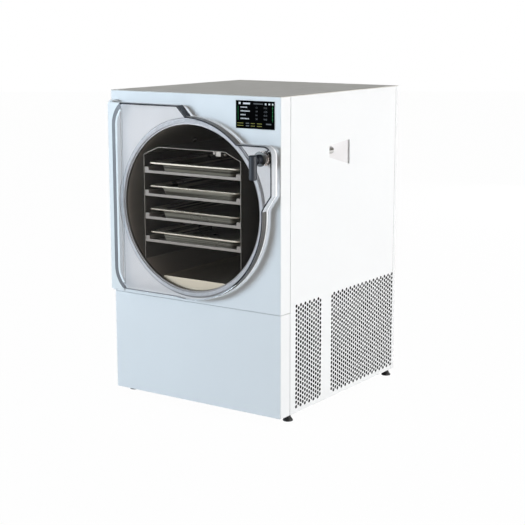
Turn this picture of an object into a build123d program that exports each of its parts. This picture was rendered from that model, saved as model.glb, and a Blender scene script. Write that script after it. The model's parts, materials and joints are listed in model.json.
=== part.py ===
from build123d import *
import math
import os

# Benchtop freeze dryer: a steel cabinet on four levelling feet, a horizontal
# vacuum drum with a clear swinging door, a rack of heated shelves with trays,
# and a refrigeration unit below.
#
# While it is modelled, X = 0 is the middle of the width, Y = 0 is the face of
# the front panels and Z = 0 is the floor. The last step moves everything so
# that the origin is at the bottom centre of the whole object.
# +X is to the right as seen from the front, +Y to the back. Millimetres.

# ---- cabinet -------------------------------------------------------------
CABINET_WIDTH = 415.0
CABINET_DEPTH = 450.0
CABINET_HEIGHT = 622.0      # without the feet
FOOT_HEIGHT = 15.0
SHEET = 1.5                 # steel sheet of every cabinet panel
BEND_RADIUS = 2.0           # outside radius of a fold
FOLD_WIDTH = 14.0           # inward folds where two panels meet
LIP_HEIGHT = 20.0           # upstands of the base pan and of the lid
FRONT_RETURN = 33.0         # how far the front panels reach round the sides
SEAM_HEIGHT = 206.0         # joint between the two front panels
SEAM_GAP = 0.8
PANEL_GAP = 0.6             # groove between front return and side panel
REAR_SEAM = 10.0            # pressed line in each side, in front of the rear edge
REAR_SEAM_DEPTH = 0.6

# ---- perforated side -----------------------------------------------------
PERF_RADIUS = 2.7
PERF_PITCH = 9.236          # along a column
PERF_ROWS = 23              # rows of a long column, one less in the next
PERF_BOTTOM = 11.9          # lowest hole above the underside
PERF_FIRST_COLUMNS = 12
PERF_SECOND_COLUMNS = 32
PERF_FIRST_START = 54.9
PERF_GROUP_GAP = 44.7       # from the last column of one group to the next group

# ---- hose pocket in the right side ---------------------------------------
POCKET_FRONT = 172.0
POCKET_LENGTH = 78.0
POCKET_FRONT_LOW = 494.0
POCKET_FRONT_HIGH = 518.0
POCKET_REAR_LOW = 474.0
POCKET_REAR_HIGH = 524.0
POCKET_FRONT_DEPTH = 28.0
POCKET_REAR_DEPTH = 4.0
POCKET_LIP = 6.0
PORT_RADIUS = 7.5
PORT_BORE = 5.0
PORT_COLLAR = 9.0
PORT_LENGTH = 26.0
PORT_INSET = 12.5           # port axis behind the side panel's face
PORT_BODY_LENGTH = 20.0
LINE_RUN = 30.0             # straight vacuum line behind the port
LINE_BEND = 14.0

# ---- vacuum chamber ------------------------------------------------------
CHAMBER_HEIGHT = 397.0      # axis above the underside
DRUM_RADIUS = 164.5         # inside
DRUM_WALL = 2.5
DRUM_DEPTH = 385.0
HEAD_THICKNESS = 4.0
RING_RADIUS = 178.0         # outside of the chamber flange
RING_PROUD = 1.5            # flange face in front of the panel
RING_THICKNESS = 6.0
COLLAR_WIDTH = 8.0          # part of the flange that sits behind the panel
GASKET_INNER = 168.0
GASKET_OUTER = 175.0
GASKET_PROUD = 2.5
GASKET_FOOT_WIDTH = 3.6
GASKET_FOOT_DEPTH = 2.0
FIT_GAP = 0.3               # between neighbouring curved pieces
COIL_TUBE = 4.75            # radius of the evaporator tube
COIL_RINGS = 8
COIL_START = 60.0
COIL_PITCH = 40.0
HEADER_ANGLE = 15.0         # headers either side of the drum's lowest line
FOAM_RADIUS = 190.0
FOAM_FRONT = 30.0
FOAM_CAP = 15.0
PROBE_ANGLE = 134.0
PROBE_DEPTH = 160.0
PROBE_RADIUS = 6.0
PROBE_INSIDE = 7.0
DECK_HEIGHT = 196.0
DECK_FRONT = 36.0
DECK_CLEAR_OF_REAR = 45.0
SADDLE_THICKNESS = 3.0
SADDLE_HALF_WIDTH = 120.0

# ---- drain ---------------------------------------------------------------
DRAIN_TUBE = 6.0
DRAIN_STUB_DEPTH = 19.0
DRAIN_RUN_HEIGHT = 182.0
DRAIN_SIDE = 40.0
DRAIN_BEND = 14.0
VALVE_LENGTH = 30.0
VALVE_RADIUS = 10.0
VALVE_STEM = 3.5
LEVER_LENGTH = 42.0

# ---- rack, shelves and trays ---------------------------------------------
RACK_WIDTH = 239.0
RACK_FRONT = 2.0
RACK_LENGTH = 318.0
RACK_TOP = 116.5            # above the chamber axis
RACK_SIDE_TOP = 100.0
RACK_TOP_WIDTH = 164.0
RACK_SHEET = 1.5
SHELF_COUNT = 4
SHELF_TOP_LEVEL = 62.9      # underside of the top shelf above the axis
SHELF_PITCH = 46.6
SHELF_SHEET = 2.0
SHELF_LIP = 5.5
RAIL_WIDTH = 10.0
RAIL_HEIGHT = 12.0
TRAY_SIDE_GAP = 7.0         # tray rim to the rack's side sheet
TRAY_LENGTH = 305.0
TRAY_RIM_HEIGHT = 19.4      # rim above the shelf plate
TRAY_SIDE_RIM = 20.5
TRAY_FRONT_RIM = 12.0
TRAY_CURL = 3.0
TRAY_WALL = 1.2
TRAY_DRAFT = 5.0
TRAY_CORNER = 9.0
PAD_THICKNESS = 1.5
PAD_MARGIN = 18.0
DRIP_TOP = 143.5            # rim of the drip pan below the axis
DRIP_HALF_WIDTH = 76.0
DRIP_WALL = 1.2
DRIP_FRONT = 7.0
DRIP_LENGTH = 300.0

# ---- door ----------------------------------------------------------------
DOOR_THICKNESS = 19.0
DOOR_RADIUS = 181.0
DOOR_LEFT = 187.0           # left edge from the chamber axis
DOOR_TOP = 201.7            # top edge above the axis
DOOR_BOTTOM = 178.5         # bottom edge of the hinge side below the axis
DOOR_CORNER_RADIUS = 59.0
DOOR_CORNER_OVERRUN = 13.0  # how far the corner arcs run past the cut edges
DOOR_SHOULDER = 20.5        # where the top edge ends, left of the axis
SHOULDER_FOOT = 2.5         # where the slope meets the round edge
SHOULDER_SINK = 2.3         # how far the slope's end lies inside that edge
LOBE_TOP = 134.5
LOBE_RIGHT = 201.5
LOBE_BOTTOM = 41.0
LOBE_FOOT_X = 185.0
LOBE_FOOT_Z = 17.6
LOBE_CORNER = 19.0
HINGE_OUTSET = 6.5          # hinge axis left of the door's edge
HINGE_FORWARD = 13.0        # hinge axis in front of the panels
LEAF_SHEET = 2.5
LEAF_BEND = 4.0
LEAF_LEFT = 12.7            # leaf reaches this far past the door's edge
LEAF_RIGHT = 13.5           # and this far behind the plate
LEAF_FRONT = 22.0
LEAF_LIP = 22.0             # reach of its front lip round the plate's corners
LEAF_OVERRUN = 2.0          # leaf longer than the plate at the bottom
PIN_RADIUS = 3.0
RUNNING_GAP = 0.05
PIN_LENGTH = 7.0
BRACKET_GAP = 0.6
BRACKET_THICKNESS = 3.0
BRACKET_MARGIN = 5.0        # bracket tab round the hinge axis
BRACKET_WIDTH = 11.0
BRACKET_LEG = 16.0

# ---- latch ---------------------------------------------------------------
LATCH_X = 176.0
LATCH_Z = 110.0             # above the chamber axis
SPINDLE_RADIUS = 5.0
BUSHING_RADIUS = 12.0
BUSHING_HEAD = 14.0
BUSHING_HEAD_THICKNESS = 2.0
NUT_ACROSS_FLATS = 26.0
NUT_THICKNESS = 3.0
HUB_RADIUS = 9.0
HUB_LENGTH = 12.0
NECK_RADIUS = 6.5
GRIP_RADIUS = 7.7
GRIP_FORWARD = 47.0         # grip axis in front of the panels
GRIP_ABOVE = 9.0
GRIP_BELOW = 37.3
DOG_WIDTH = 8.0
DOG_LENGTH = 22.0
DOG_THICKNESS = 6.0
DOG_BORE = 3.5
DOG_GAP = 0.5
SLOT_CLEARANCE = 2.0
KEEPER_THICKNESS = 3.0
KEEPER_WIDTH = 26.0
KEEPER_HEIGHT = 32.0
LATCH_HOLE = 14.5

# ---- touchscreen ---------------------------------------------------------
SCREEN_X = 104.7
SCREEN_Z = 560.0
SCREEN_WIDTH = 89.0
SCREEN_HEIGHT = 52.8
BEZEL = 2.0                 # visible rim round the glass
BEZEL_PROUD = 0.8
SCREEN_CASE = 1.0           # case wall round the glass, behind the bezel
GLASS_THICKNESS = 1.6
SCREEN_DEPTH = 18.0

# ---- refrigeration unit --------------------------------------------------
COMPRESSOR_X = -85.0
COMPRESSOR_Y = 320.0
COMPRESSOR_RADIUS = 64.0
COMPRESSOR_HEIGHT = 145.0
COMPRESSOR_PLATE_WIDTH = 170.0
COMPRESSOR_PLATE_DEPTH = 120.0
COMPRESSOR_PLATE_THICKNESS = 3.0
GROMMET_HEIGHT = 15.0
GROMMET_RADIUS = 11.0
CONDENSER_GAP = 26.0        # from the side panel's face
CONDENSER_THICKNESS = 28.0
CONDENSER_WIDTH = 220.0
CONDENSER_HEIGHT = 160.0
CONDENSER_RAISE = 22.0
CONDENSER_FRONT = 205.0
FIN_COUNT = 22
FIN_THICKNESS = 1.0
CONDENSER_TUBE = 4.5
CONDENSER_ROWS = 6
SHROUD_SHEET = 2.0
FAN_RADIUS = 68.0
FAN_TIP_GAP = 3.0
FAN_HUB_RADIUS = 16.0
FAN_HUB_LENGTH = 18.0
FAN_BLADES = 5
BLADE_CHORD = 36.0
BLADE_THICKNESS = 2.0
BLADE_PITCH = 28.0
SHAFT_RADIUS = 3.0
MOTOR_RADIUS = 25.0
MOTOR_LENGTH = 38.0
DRIER_RADIUS = 11.0
DRIER_LENGTH = 70.0
GAS_TUBE = 4.0
GAS_BEND = 13.0

# ---- electrics -----------------------------------------------------------
BOARD_THICKNESS = 1.6
BOARD_LENGTH = 160.0
BOARD_HEIGHT = 84.0
BOARD_FRONT = 190.0
BOARD_LOW = 508.0
STANDOFF_LENGTH = 6.0
STANDOFF_RADIUS = 3.0
INLET_X = -150.0
INLET_Z = 62.0
INLET_WIDTH = 27.0
INLET_HEIGHT = 20.0
INLET_FLANGE = 4.0
SWITCH_Z = 112.0
SWITCH_WIDTH = 21.0
SWITCH_HEIGHT = 28.0
SWITCH_DEPTH = 18.0
SWITCH_WALL = 1.6
ROCKER_TRAVEL = 20.0        # degrees from off to on
TRUNNION_RADIUS = 1.5
SCREW_RADIUS = 1.9
SCREW_HEAD = 3.6
SCREW_HEAD_HEIGHT = 2.2
VENT_SLOTS = 12
VENT_WIDTH = 110.0
VENT_HEIGHT = 5.0
VENT_PITCH = 11.0
VENT_X = 110.0
VENT_LOW = 36.0

# ---- places worked out from the sizes above ------------------------------
HALF = CABINET_WIDTH / 2
INNER = HALF - SHEET
FLOOR = FOOT_HEIGHT
LID = FLOOR + CABINET_HEIGHT - SHEET
AXIS = FLOOR + CHAMBER_HEIGHT
BACK = CABINET_DEPTH
DRUM_FRONT = RING_THICKNESS - RING_PROUD
DRUM_OUTER = DRUM_RADIUS + DRUM_WALL
SEAL_FACE = -(RING_PROUD + GASKET_PROUD)
DOOR_FACE = SEAL_FACE - DOOR_THICKNESS
RACK_HALF = RACK_WIDTH / 2
RACK_INNER = RACK_HALF - RACK_SHEET
TRAY_RIM_WIDTH = 2 * (RACK_INNER - TRAY_SIDE_GAP)
LATCH_HEIGHT = AXIS + LATCH_Z
HINGE_X = -(DOOR_LEFT + HINGE_OUTSET)
HINGE_Y = -HINGE_FORWARD
LEAF_TOP = AXIS + DOOR_TOP
LEAF_BOTTOM = AXIS - DOOR_BOTTOM - LEAF_OVERRUN
FRONT_REACH = GRIP_FORWARD + GRIP_RADIUS
REAR_REACH = VALVE_LENGTH
ORIGIN_Y = (CABINET_DEPTH + REAR_REACH - FRONT_REACH) / 2


# ---- helpers -------------------------------------------------------------
def block(x, y, z):
    """Box that spans the three (low, high) pairs."""
    size = [high - low for low, high in (x, y, z)]
    centre = [(high + low) / 2 for low, high in (x, y, z)]
    return Pos(*centre) * Box(*size)


def rod(radius, start, end):
    """Cylinder from one point to another."""
    run = Vector(*end) - Vector(*start)
    seat = Plane(origin=start, z_dir=run)
    return seat * extrude(Circle(radius), amount=run.length)


def turned(points):
    """Solid of revolution about the chamber axis from (radius, y) points."""
    face = make_face(Polyline(*points, close=True))
    return Pos(0, 0, AXIS) * revolve(face, Axis.Y)


def front_plate(outline, front, back):
    """Solid of an outline drawn in X and Z, from one depth to another."""
    body = extrude(Plane.XZ * outline, amount=-(back - front))
    return Pos(0, front, 0) * body


def side_plate(face, left, right):
    """Solid of a face drawn in Y and Z, from one X to another."""
    return Pos(left, 0, 0) * extrude(Plane.YZ * face, amount=right - left)


def folded(points, thickness, radius, side):
    """Section of a folded sheet whose outer skin runs through the points."""
    path = FilletPolyline(*points, radius=radius)
    return make_face(offset(path, amount=thickness, side=side, closed=True))


def pipe(points, radius, bend, bore=0):
    """Bent tube along straight runs joined by arcs."""
    path = FilletPolyline(*points, radius=bend) if len(points) > 2 else Line(*points)
    start = Plane(origin=points[0], z_dir=Vector(*points[1]) - Vector(*points[0]))
    body = sweep(start * Circle(radius), path=path)
    if bore:
        body -= sweep(start * Circle(bore), path=path)
    return body


def around(angle, radius, y):
    """Point at an angle from +X about the chamber axis."""
    turn = math.radians(angle)
    return (radius * math.cos(turn), y, AXIS + radius * math.sin(turn))


# ---- cabinet -------------------------------------------------------------
def front_skin(low, high):
    """Front sheet with side returns and inward folds, between two heights."""
    section = folded(
        [(HALF - FOLD_WIDTH, FRONT_RETURN), (HALF, FRONT_RETURN), (HALF, 0),
         (-HALF, 0), (-HALF, FRONT_RETURN), (-HALF + FOLD_WIDTH, FRONT_RETURN)],
        SHEET, BEND_RADIUS, Side.RIGHT)
    return Pos(0, 0, low) * extrude(section, amount=high - low)


def seam_fold(low):
    """Stiffening fold behind the seam of a front panel."""
    return block((-INNER, INNER), (SHEET, SHEET + 10), (low, low + SHEET))


def bracket_tab(low, clearance=0.0):
    """Flat tab of a hinge bracket, or the slot it needs in the panel."""
    left = HINGE_X - BRACKET_MARGIN
    return block((left - clearance, left + BRACKET_WIDTH + clearance),
                 (HINGE_Y - BRACKET_MARGIN, SHEET + BRACKET_THICKNESS),
                 (low - clearance, low + BRACKET_THICKNESS + clearance))


def top_bracket_low():
    return LEAF_TOP + BRACKET_GAP


def bottom_bracket_low():
    return LEAF_BOTTOM - BRACKET_GAP - BRACKET_THICKNESS


def front_upper_panel():
    low = FLOOR + SEAM_HEIGHT + SEAM_GAP / 2
    panel = front_skin(low, LID) + seam_fold(low)
    panel -= rod(RING_RADIUS + FIT_GAP, (0, -5, AXIS), (0, 10, AXIS))
    panel -= rod(LATCH_HOLE, (LATCH_X, -5, LATCH_HEIGHT), (LATCH_X, SHEET + 1, LATCH_HEIGHT))
    panel -= screen_block(SCREEN_CASE + FIT_GAP, -5, SHEET + 1)
    for low_edge in (top_bracket_low(), bottom_bracket_low()):
        panel -= bracket_tab(low_edge, FIT_GAP)
    return panel


def front_lower_panel():
    high = FLOOR + SEAM_HEIGHT - SEAM_GAP / 2
    panel = front_skin(FLOOR, high) + seam_fold(high - SHEET)
    return panel - block((-INNER, INNER), (SHEET, BACK), (FLOOR - 1, FLOOR + SHEET))


def perforation():
    """Centres of the staggered round holes, in Y and Z."""
    spacing = PERF_PITCH * math.cos(math.radians(30))
    second_start = (PERF_FIRST_START + (PERF_FIRST_COLUMNS - 1) * spacing + PERF_GROUP_GAP)
    groups = ((PERF_FIRST_START, PERF_FIRST_COLUMNS, 0),
              (second_start, PERF_SECOND_COLUMNS, 1))
    centres = []
    for start, columns, phase in groups:
        for column in range(columns):
            short = (column + phase) % 2
            low = FLOOR + PERF_BOTTOM + short * PERF_PITCH / 2
            centres += [(start + column * spacing, low + row * PERF_PITCH)
                        for row in range(PERF_ROWS - short)]
    return [(y, z) for y, z in centres if y < BACK - FOLD_WIDTH / 2]


def pocket_outline(grow=0.0):
    """Tapered outline of the hose pocket in Y and Z, or a larger copy."""
    rear = POCKET_FRONT + POCKET_LENGTH
    corners = [(POCKET_FRONT, FLOOR + POCKET_FRONT_LOW), (rear, FLOOR + POCKET_REAR_LOW),
               (rear, FLOOR + POCKET_REAR_HIGH), (POCKET_FRONT, FLOOR + POCKET_FRONT_HIGH)]
    outline = fillet(Polygon(*corners, align=None).vertices(), radius=2.0)
    return offset(outline, amount=grow) if grow else outline


def side_skin(inner_wires):
    """Flat side sheet between front return and rear edge."""
    front = FRONT_RETURN + PANEL_GAP
    height = CABINET_HEIGHT - SHEET
    outer = Pos((front + BACK) / 2, FLOOR + height / 2) * Rectangle(BACK - front, height)
    return Face(outer.wire(), inner_wires)


def side_folds():
    """Inward folds of a right-hand side panel."""
    reach = (HALF - FOLD_WIDTH, INNER)
    tall = (FLOOR + SHEET, LID)
    front = block(reach, (FRONT_RETURN, FRONT_RETURN + SHEET), tall)
    rear = block(reach, (BACK - 2 * SHEET, BACK - SHEET), tall)
    return front + rear


def rear_seam():
    """Shallow upright line near the rear edge of a right-hand side."""
    middle = BACK - REAR_SEAM
    return block((HALF - REAR_SEAM_DEPTH, HALF + 1),
                 (middle - PANEL_GAP / 2, middle + PANEL_GAP / 2), (FLOOR - 1, LID + 1))


def rear_screw_places():
    """X and Z of the screws that hold the rear panel to the side folds."""
    x = HALF - FOLD_WIDTH / 2 - SHEET / 2
    heights = [FLOOR + CABINET_HEIGHT * share for share in (0.06, 0.35, 0.65, 0.94)]
    return [(side * x, z) for side in (-1, 1) for z in heights]


def screw_holes(radius):
    """Clearance holes for the rear panel's screws."""
    return [rod(radius, (x, BACK - 8, z), (x, BACK + 1, z)) for x, z in rear_screw_places()]


def side_panel_right():
    holes = [Circle(PERF_RADIUS).wire().moved(Location((y, z))) for y, z in perforation()]
    opening = pocket_outline().wire()
    panel = side_plate(side_skin(holes + [opening]), INNER, HALF)
    return panel + side_folds() - rear_seam() - screw_holes(SCREW_RADIUS + RUNNING_GAP)


def side_panel_left():
    panel = side_plate(side_skin([]), INNER, HALF) + side_folds() - rear_seam()
    return mirror(panel, Plane.YZ) - screw_holes(SCREW_RADIUS + RUNNING_GAP)


def lid_and_pan_lips(low, high, front_limits):
    """Upstands that fit inside the side, front and rear panels."""
    run = (FRONT_RETURN + SHEET + 1.5, BACK - 2 * SHEET - 1)
    lips = block((INNER - SHEET, INNER), run, (low, high))
    lips += block((-INNER, -INNER + SHEET), run, (low, high))
    lips += block(front_limits, (SHEET, 2 * SHEET), (low, high))
    rear_half = HALF - FOLD_WIDTH - 0.5
    lips += block((-rear_half, rear_half), (BACK - 2 * SHEET, BACK - SHEET), (low, high))
    return lips


def foot_places():
    inset = 11.5
    return [(side * (HALF - inset), y) for side in (-1, 1) for y in (43.0, BACK - inset)]


def compressor_bolt_places():
    x = COMPRESSOR_PLATE_WIDTH / 2 - GROMMET_RADIUS - 2
    y = COMPRESSOR_PLATE_DEPTH / 2 - GROMMET_RADIUS - 2
    return [(COMPRESSOR_X + i * x, COMPRESSOR_Y + j * y) for i in (-1, 1) for j in (-1, 1)]


def base_pan():
    pan = block((-INNER, INNER), (SHEET, BACK - SHEET), (FLOOR, FLOOR + SHEET))
    front_half = INNER - BEND_RADIUS
    pan += lid_and_pan_lips(FLOOR, FLOOR + LIP_HEIGHT, (-front_half, front_half))
    for x, y in foot_places():
        pan -= rod(4.2, (x, y, FLOOR - 1), (x, y, FLOOR + SHEET + 1))
    return pan


def top_panel():
    lid = block((-HALF, HALF), (0, BACK), (LID, LID + SHEET))
    rim = lid.edges().filter_by(Axis.Z) + lid.faces().sort_by(Axis.Z)[-1].edges()
    lid = fillet(rim, radius=0.7)
    screen_clear = SCREEN_X - 2 * BEZEL - 4
    bracket_clear = HINGE_X - BRACKET_MARGIN + BRACKET_WIDTH + 4
    lips = lid_and_pan_lips(LID - LIP_HEIGHT, LID, (bracket_clear, screen_clear))
    return lid + lips


def vent_slots():
    """Row of exhaust slots in the rear panel."""
    return [block((VENT_X - VENT_WIDTH / 2, VENT_X + VENT_WIDTH / 2), (BACK - 5, BACK + 5),
                  (z, z + VENT_HEIGHT))
            for z in (FLOOR + VENT_LOW + VENT_PITCH * row for row in range(VENT_SLOTS))]


def rear_panel():
    panel = block((-INNER, INNER), (BACK - SHEET, BACK), (FLOOR, LID))
    panel -= vent_slots()
    panel -= screw_holes(SCREW_RADIUS + RUNNING_GAP)
    panel -= rod(DRAIN_TUBE + FIT_GAP, (DRAIN_SIDE, BACK - 5, FLOOR + DRAIN_RUN_HEIGHT),
                 (DRAIN_SIDE, BACK + 5, FLOOR + DRAIN_RUN_HEIGHT))
    for width, height, z in ((INLET_WIDTH, INLET_HEIGHT, INLET_Z),
                             (SWITCH_WIDTH, SWITCH_HEIGHT, SWITCH_Z)):
        panel -= rear_block(width + 2 * RUNNING_GAP, height + 2 * RUNNING_GAP, z, -5, 5)
    return panel


def rear_block(width, height, z, front, back):
    """Block on the rear panel at the inlet's X, measured from the panel's face."""
    return block((INLET_X - width / 2, INLET_X + width / 2), (BACK + front, BACK + back),
                 (FLOOR + z - height / 2, FLOOR + z + height / 2))


def panel_screws():
    screws = []
    for x, z in rear_screw_places():
        shank = rod(SCREW_RADIUS, (x, BACK - 7, z), (x, BACK, z))
        head = rod(SCREW_HEAD, (x, BACK, z), (x, BACK + SCREW_HEAD_HEIGHT, z))
        head = fillet(head.faces().sort_by(Axis.Y)[-1].edges(), radius=1.0)
        screws.append(shank + head)
    return Compound(screws)


def levelling_feet():
    feet = []
    profile = [(0, 0), (9.8, 0), (10.2, 0.8), (9.8, 2.4), (5.6, 8.5), (5.6, FOOT_HEIGHT),
               (4.0, FOOT_HEIGHT), (4.0, FOOT_HEIGHT + 24), (0, FOOT_HEIGHT + 24)]
    foot = revolve(make_face(Plane.XZ * Polyline(*profile, close=True)), Axis.Z)
    for x, y in foot_places():
        feet.append(Pos(x, y, 0) * foot)
    return Compound(feet)


def foot_lock_nuts():
    low = FLOOR + SHEET
    nut = extrude(RegularPolygon(6.9, 6), amount=6.0) - Cylinder(4.0 + RUNNING_GAP, 20)
    return Compound([Pos(x, y, low) * nut for x, y in foot_places()])


# ---- hose pocket and vacuum line -----------------------------------------
def pocket_wedge(extra):
    """Space in front of the pocket's sloping floor, or of its outer skin."""
    rear = POCKET_FRONT + POCKET_LENGTH
    slope = (POCKET_FRONT_DEPTH - POCKET_REAR_DEPTH) / POCKET_LENGTH
    reach = 10.0
    corners = [(HALF + 1, POCKET_FRONT - reach), (HALF + 1, rear + reach),
               (HALF - POCKET_REAR_DEPTH - extra + slope * reach, rear + reach),
               (HALF - POCKET_FRONT_DEPTH - extra - slope * reach, POCKET_FRONT - reach)]
    wedge = extrude(Polygon(*corners, align=None), amount=CABINET_HEIGHT)
    return Pos(0, 0, FLOOR) * wedge


def port_axis():
    """Start of the vacuum port at the pocket's front wall."""
    return (HALF - PORT_INSET, POCKET_FRONT,
            FLOOR + (POCKET_FRONT_LOW + POCKET_FRONT_HIGH) / 2)


def hose_pocket():
    deep = HALF - POCKET_FRONT_DEPTH - 10
    hollow = side_plate(pocket_outline(), deep, HALF + 1) & pocket_wedge(0)
    skin = side_plate(pocket_outline(SHEET), deep, INNER) & pocket_wedge(SHEET)
    lip = side_plate(pocket_outline(POCKET_LIP), INNER - SHEET, INNER)
    x, y, z = port_axis()
    bore = rod(PORT_RADIUS + FIT_GAP, (x, y - 5, z), (x, y + 1, z))
    return skin + lip - hollow - bore


def vacuum_port():
    x, y, z = port_axis()
    body = rod(PORT_RADIUS, (x, y - SHEET - PORT_BODY_LENGTH, z), (x, y + PORT_LENGTH, z))
    body = chamfer(body.faces().sort_by(Axis.Y)[-1].edges(), length=1.0)
    body += rod(PORT_COLLAR, (x, y, z), (x, y + 3, z))
    body += rod(PORT_COLLAR, (x, y - SHEET - 3, z), (x, y - SHEET, z))
    return body - rod(PORT_BORE, (x, y - 40, z), (x, y + PORT_LENGTH + 1, z))


def line_points():
    """Route of the vacuum line from the port to the drum's wall."""
    x, y, z = port_axis()
    start = y - SHEET - PORT_BODY_LENGTH
    turn = start - LINE_RUN
    toward = Vector(-x, 0, AXIS - z).normalized()
    distance = math.hypot(x, z - AXIS) - DRUM_RADIUS
    end = Vector(x, turn, z) + toward * distance
    return [(x, start, z), (x, turn, z), tuple(end)]


def drum_cylinder(radius):
    return rod(radius, (0, DRUM_FRONT, AXIS), (0, DRUM_DEPTH, AXIS))


def vacuum_line():
    tube = pipe(line_points(), PORT_RADIUS - 0.5, LINE_BEND, PORT_BORE)
    return tube - drum_cylinder(DRUM_OUTER + RUNNING_GAP)


def line_hole(radius):
    """Straight hole along the last run of the vacuum line."""
    points = line_points()
    return rod(radius, points[1], points[2]) + rod(
        radius, points[2], tuple(Vector(*points[2]) + (Vector(*points[2]) - Vector(*points[1])) * 0.2))


# ---- chamber -------------------------------------------------------------
def probe_rod(radius, inner, outer):
    return rod(radius, around(PROBE_ANGLE, inner, PROBE_DEPTH),
               around(PROBE_ANGLE, outer, PROBE_DEPTH))


def chamber_drum():
    shell = drum_cylinder(DRUM_OUTER) - drum_cylinder(DRUM_RADIUS)
    shell -= line_hole(PORT_BORE)
    shell -= probe_rod(PROBE_RADIUS + RUNNING_GAP, DRUM_RADIUS - 5, DRUM_OUTER + 5)
    drain = (0, DRAIN_STUB_DEPTH, AXIS - DRUM_OUTER - 5)
    shell -= rod(DRAIN_TUBE - 1.5, drain, (0, DRAIN_STUB_DEPTH, AXIS - DRUM_RADIUS + 5))
    head = rod(DRUM_OUTER, (0, DRUM_DEPTH, AXIS), (0, DRUM_DEPTH + HEAD_THICKNESS, AXIS))
    return Compound([shell, head])


def chamber_flange():
    face = -RING_PROUD
    back = RING_THICKNESS - RING_PROUD
    middle = (GASKET_INNER + GASKET_OUTER) / 2
    groove_in = middle - GASKET_FOOT_WIDTH / 2
    groove_out = middle + GASKET_FOOT_WIDTH / 2
    floor = face + GASKET_FOOT_DEPTH
    collar = RING_RADIUS + COLLAR_WIDTH
    return turned([(DRUM_RADIUS, face + 0.8), (DRUM_RADIUS + 0.8, face), (groove_in, face),
                   (groove_in, floor), (groove_out, floor), (groove_out, face),
                   (RING_RADIUS - 0.8, face), (RING_RADIUS, face + 0.8), (RING_RADIUS, SHEET),
                   (collar, SHEET), (collar, back), (DRUM_RADIUS, back)])


def door_gasket():
    face = -RING_PROUD
    middle = (GASKET_INNER + GASKET_OUTER) / 2
    foot_in = middle - GASKET_FOOT_WIDTH / 2
    foot_out = middle + GASKET_FOOT_WIDTH / 2
    floor = face + GASKET_FOOT_DEPTH
    return turned([(GASKET_INNER, face), (GASKET_INNER, SEAL_FACE + 0.6),
                   (GASKET_INNER + 0.6, SEAL_FACE), (GASKET_OUTER - 0.6, SEAL_FACE),
                   (GASKET_OUTER, SEAL_FACE + 0.6), (GASKET_OUTER, face),
                   (foot_out, face), (foot_out, floor), (foot_in, floor), (foot_in, face)])


def header_point(side, y):
    return around(-90 + side * HEADER_ANGLE, DRUM_OUTER + FIT_GAP + COIL_TUBE, y)


def header_end():
    return DRUM_DEPTH + HEAD_THICKNESS + FOAM_CAP + 10


def evaporator_coil():
    radius = DRUM_OUTER + FIT_GAP + COIL_TUBE
    section = Pos(radius, 0) * Circle(COIL_TUBE)
    ring = revolve(section, Axis.Y, revolution_arc=360 - 2 * HEADER_ANGLE)
    start = Rot(0, 90 + HEADER_ANGLE - 360, 0)
    check = start * ring
    coil = [Pos(0, COIL_START + COIL_PITCH * i, AXIS) * check for i in range(COIL_RINGS)]
    headers = [rod(COIL_TUBE, header_point(side, COIL_START), header_point(side, header_end()))
               for side in (-1, 1)]
    return coil[0] + coil[1:] + headers


def chamber_insulation():
    inner = DRUM_OUTER + 2 * COIL_TUBE + 2.5 * FIT_GAP
    cavity = DRUM_DEPTH + HEAD_THICKNESS + FIT_GAP
    back = cavity + FOAM_CAP
    foam = turned([(inner, FOAM_FRONT), (FOAM_RADIUS, FOAM_FRONT), (FOAM_RADIUS, back),
                   (0, back), (0, cavity), (inner, cavity)])
    foam -= line_hole(PORT_RADIUS)
    foam -= probe_rod(PROBE_RADIUS + FIT_GAP, inner - 5, FOAM_RADIUS + 5)
    for side in (-1, 1):
        foam -= rod(COIL_TUBE + FIT_GAP, header_point(side, DRUM_DEPTH),
                    header_point(side, header_end() + 5))
    return foam


def chamber_probe():
    tip = DRUM_RADIUS - PROBE_INSIDE
    probe = probe_rod(PROBE_RADIUS, tip, FOAM_RADIUS + 4)
    probe = fillet(probe.faces().sort_by(Axis.Z)[0].edges(), radius=2.0)
    return probe + probe_rod(PROBE_RADIUS + 4, FOAM_RADIUS + 1, FOAM_RADIUS + 8)


def chamber_cradle():
    deck = FLOOR + DECK_HEIGHT
    run = (DECK_FRONT, BACK - DECK_CLEAR_OF_REAR)
    cradle = block((-INNER, INNER), run, (deck, deck + SHEET))
    for low, high in ((-INNER, -INNER + SHEET), (INNER - SHEET, INNER)):
        cradle += block((low, high), run, (deck - LIP_HEIGHT, deck))
    top = AXIS - math.sqrt(FOAM_RADIUS ** 2 - SADDLE_HALF_WIDTH ** 2)
    for y in (FOAM_FRONT + 50, DRUM_DEPTH - 50):
        saddle = block((-SADDLE_HALF_WIDTH, SADDLE_HALF_WIDTH), (y, y + SADDLE_THICKNESS),
                       (deck + SHEET, top))
        saddle -= rod(FOAM_RADIUS + FIT_GAP, (0, y - 5, AXIS), (0, y + SADDLE_THICKNESS + 5, AXIS))
        cradle += saddle
    return cradle


# ---- drain ---------------------------------------------------------------
def drain_line():
    run = FLOOR + DRAIN_RUN_HEIGHT
    points = [(0, DRAIN_STUB_DEPTH, AXIS - DRUM_OUTER + 2), (0, DRAIN_STUB_DEPTH, run),
              (0, DRAIN_STUB_DEPTH + 60, run), (DRAIN_SIDE, DRAIN_STUB_DEPTH + 130, run),
              (DRAIN_SIDE, BACK, run)]
    tube = pipe(points, DRAIN_TUBE, DRAIN_BEND, DRAIN_TUBE - 1.5)
    return tube - drum_cylinder(DRUM_OUTER + RUNNING_GAP)


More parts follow.
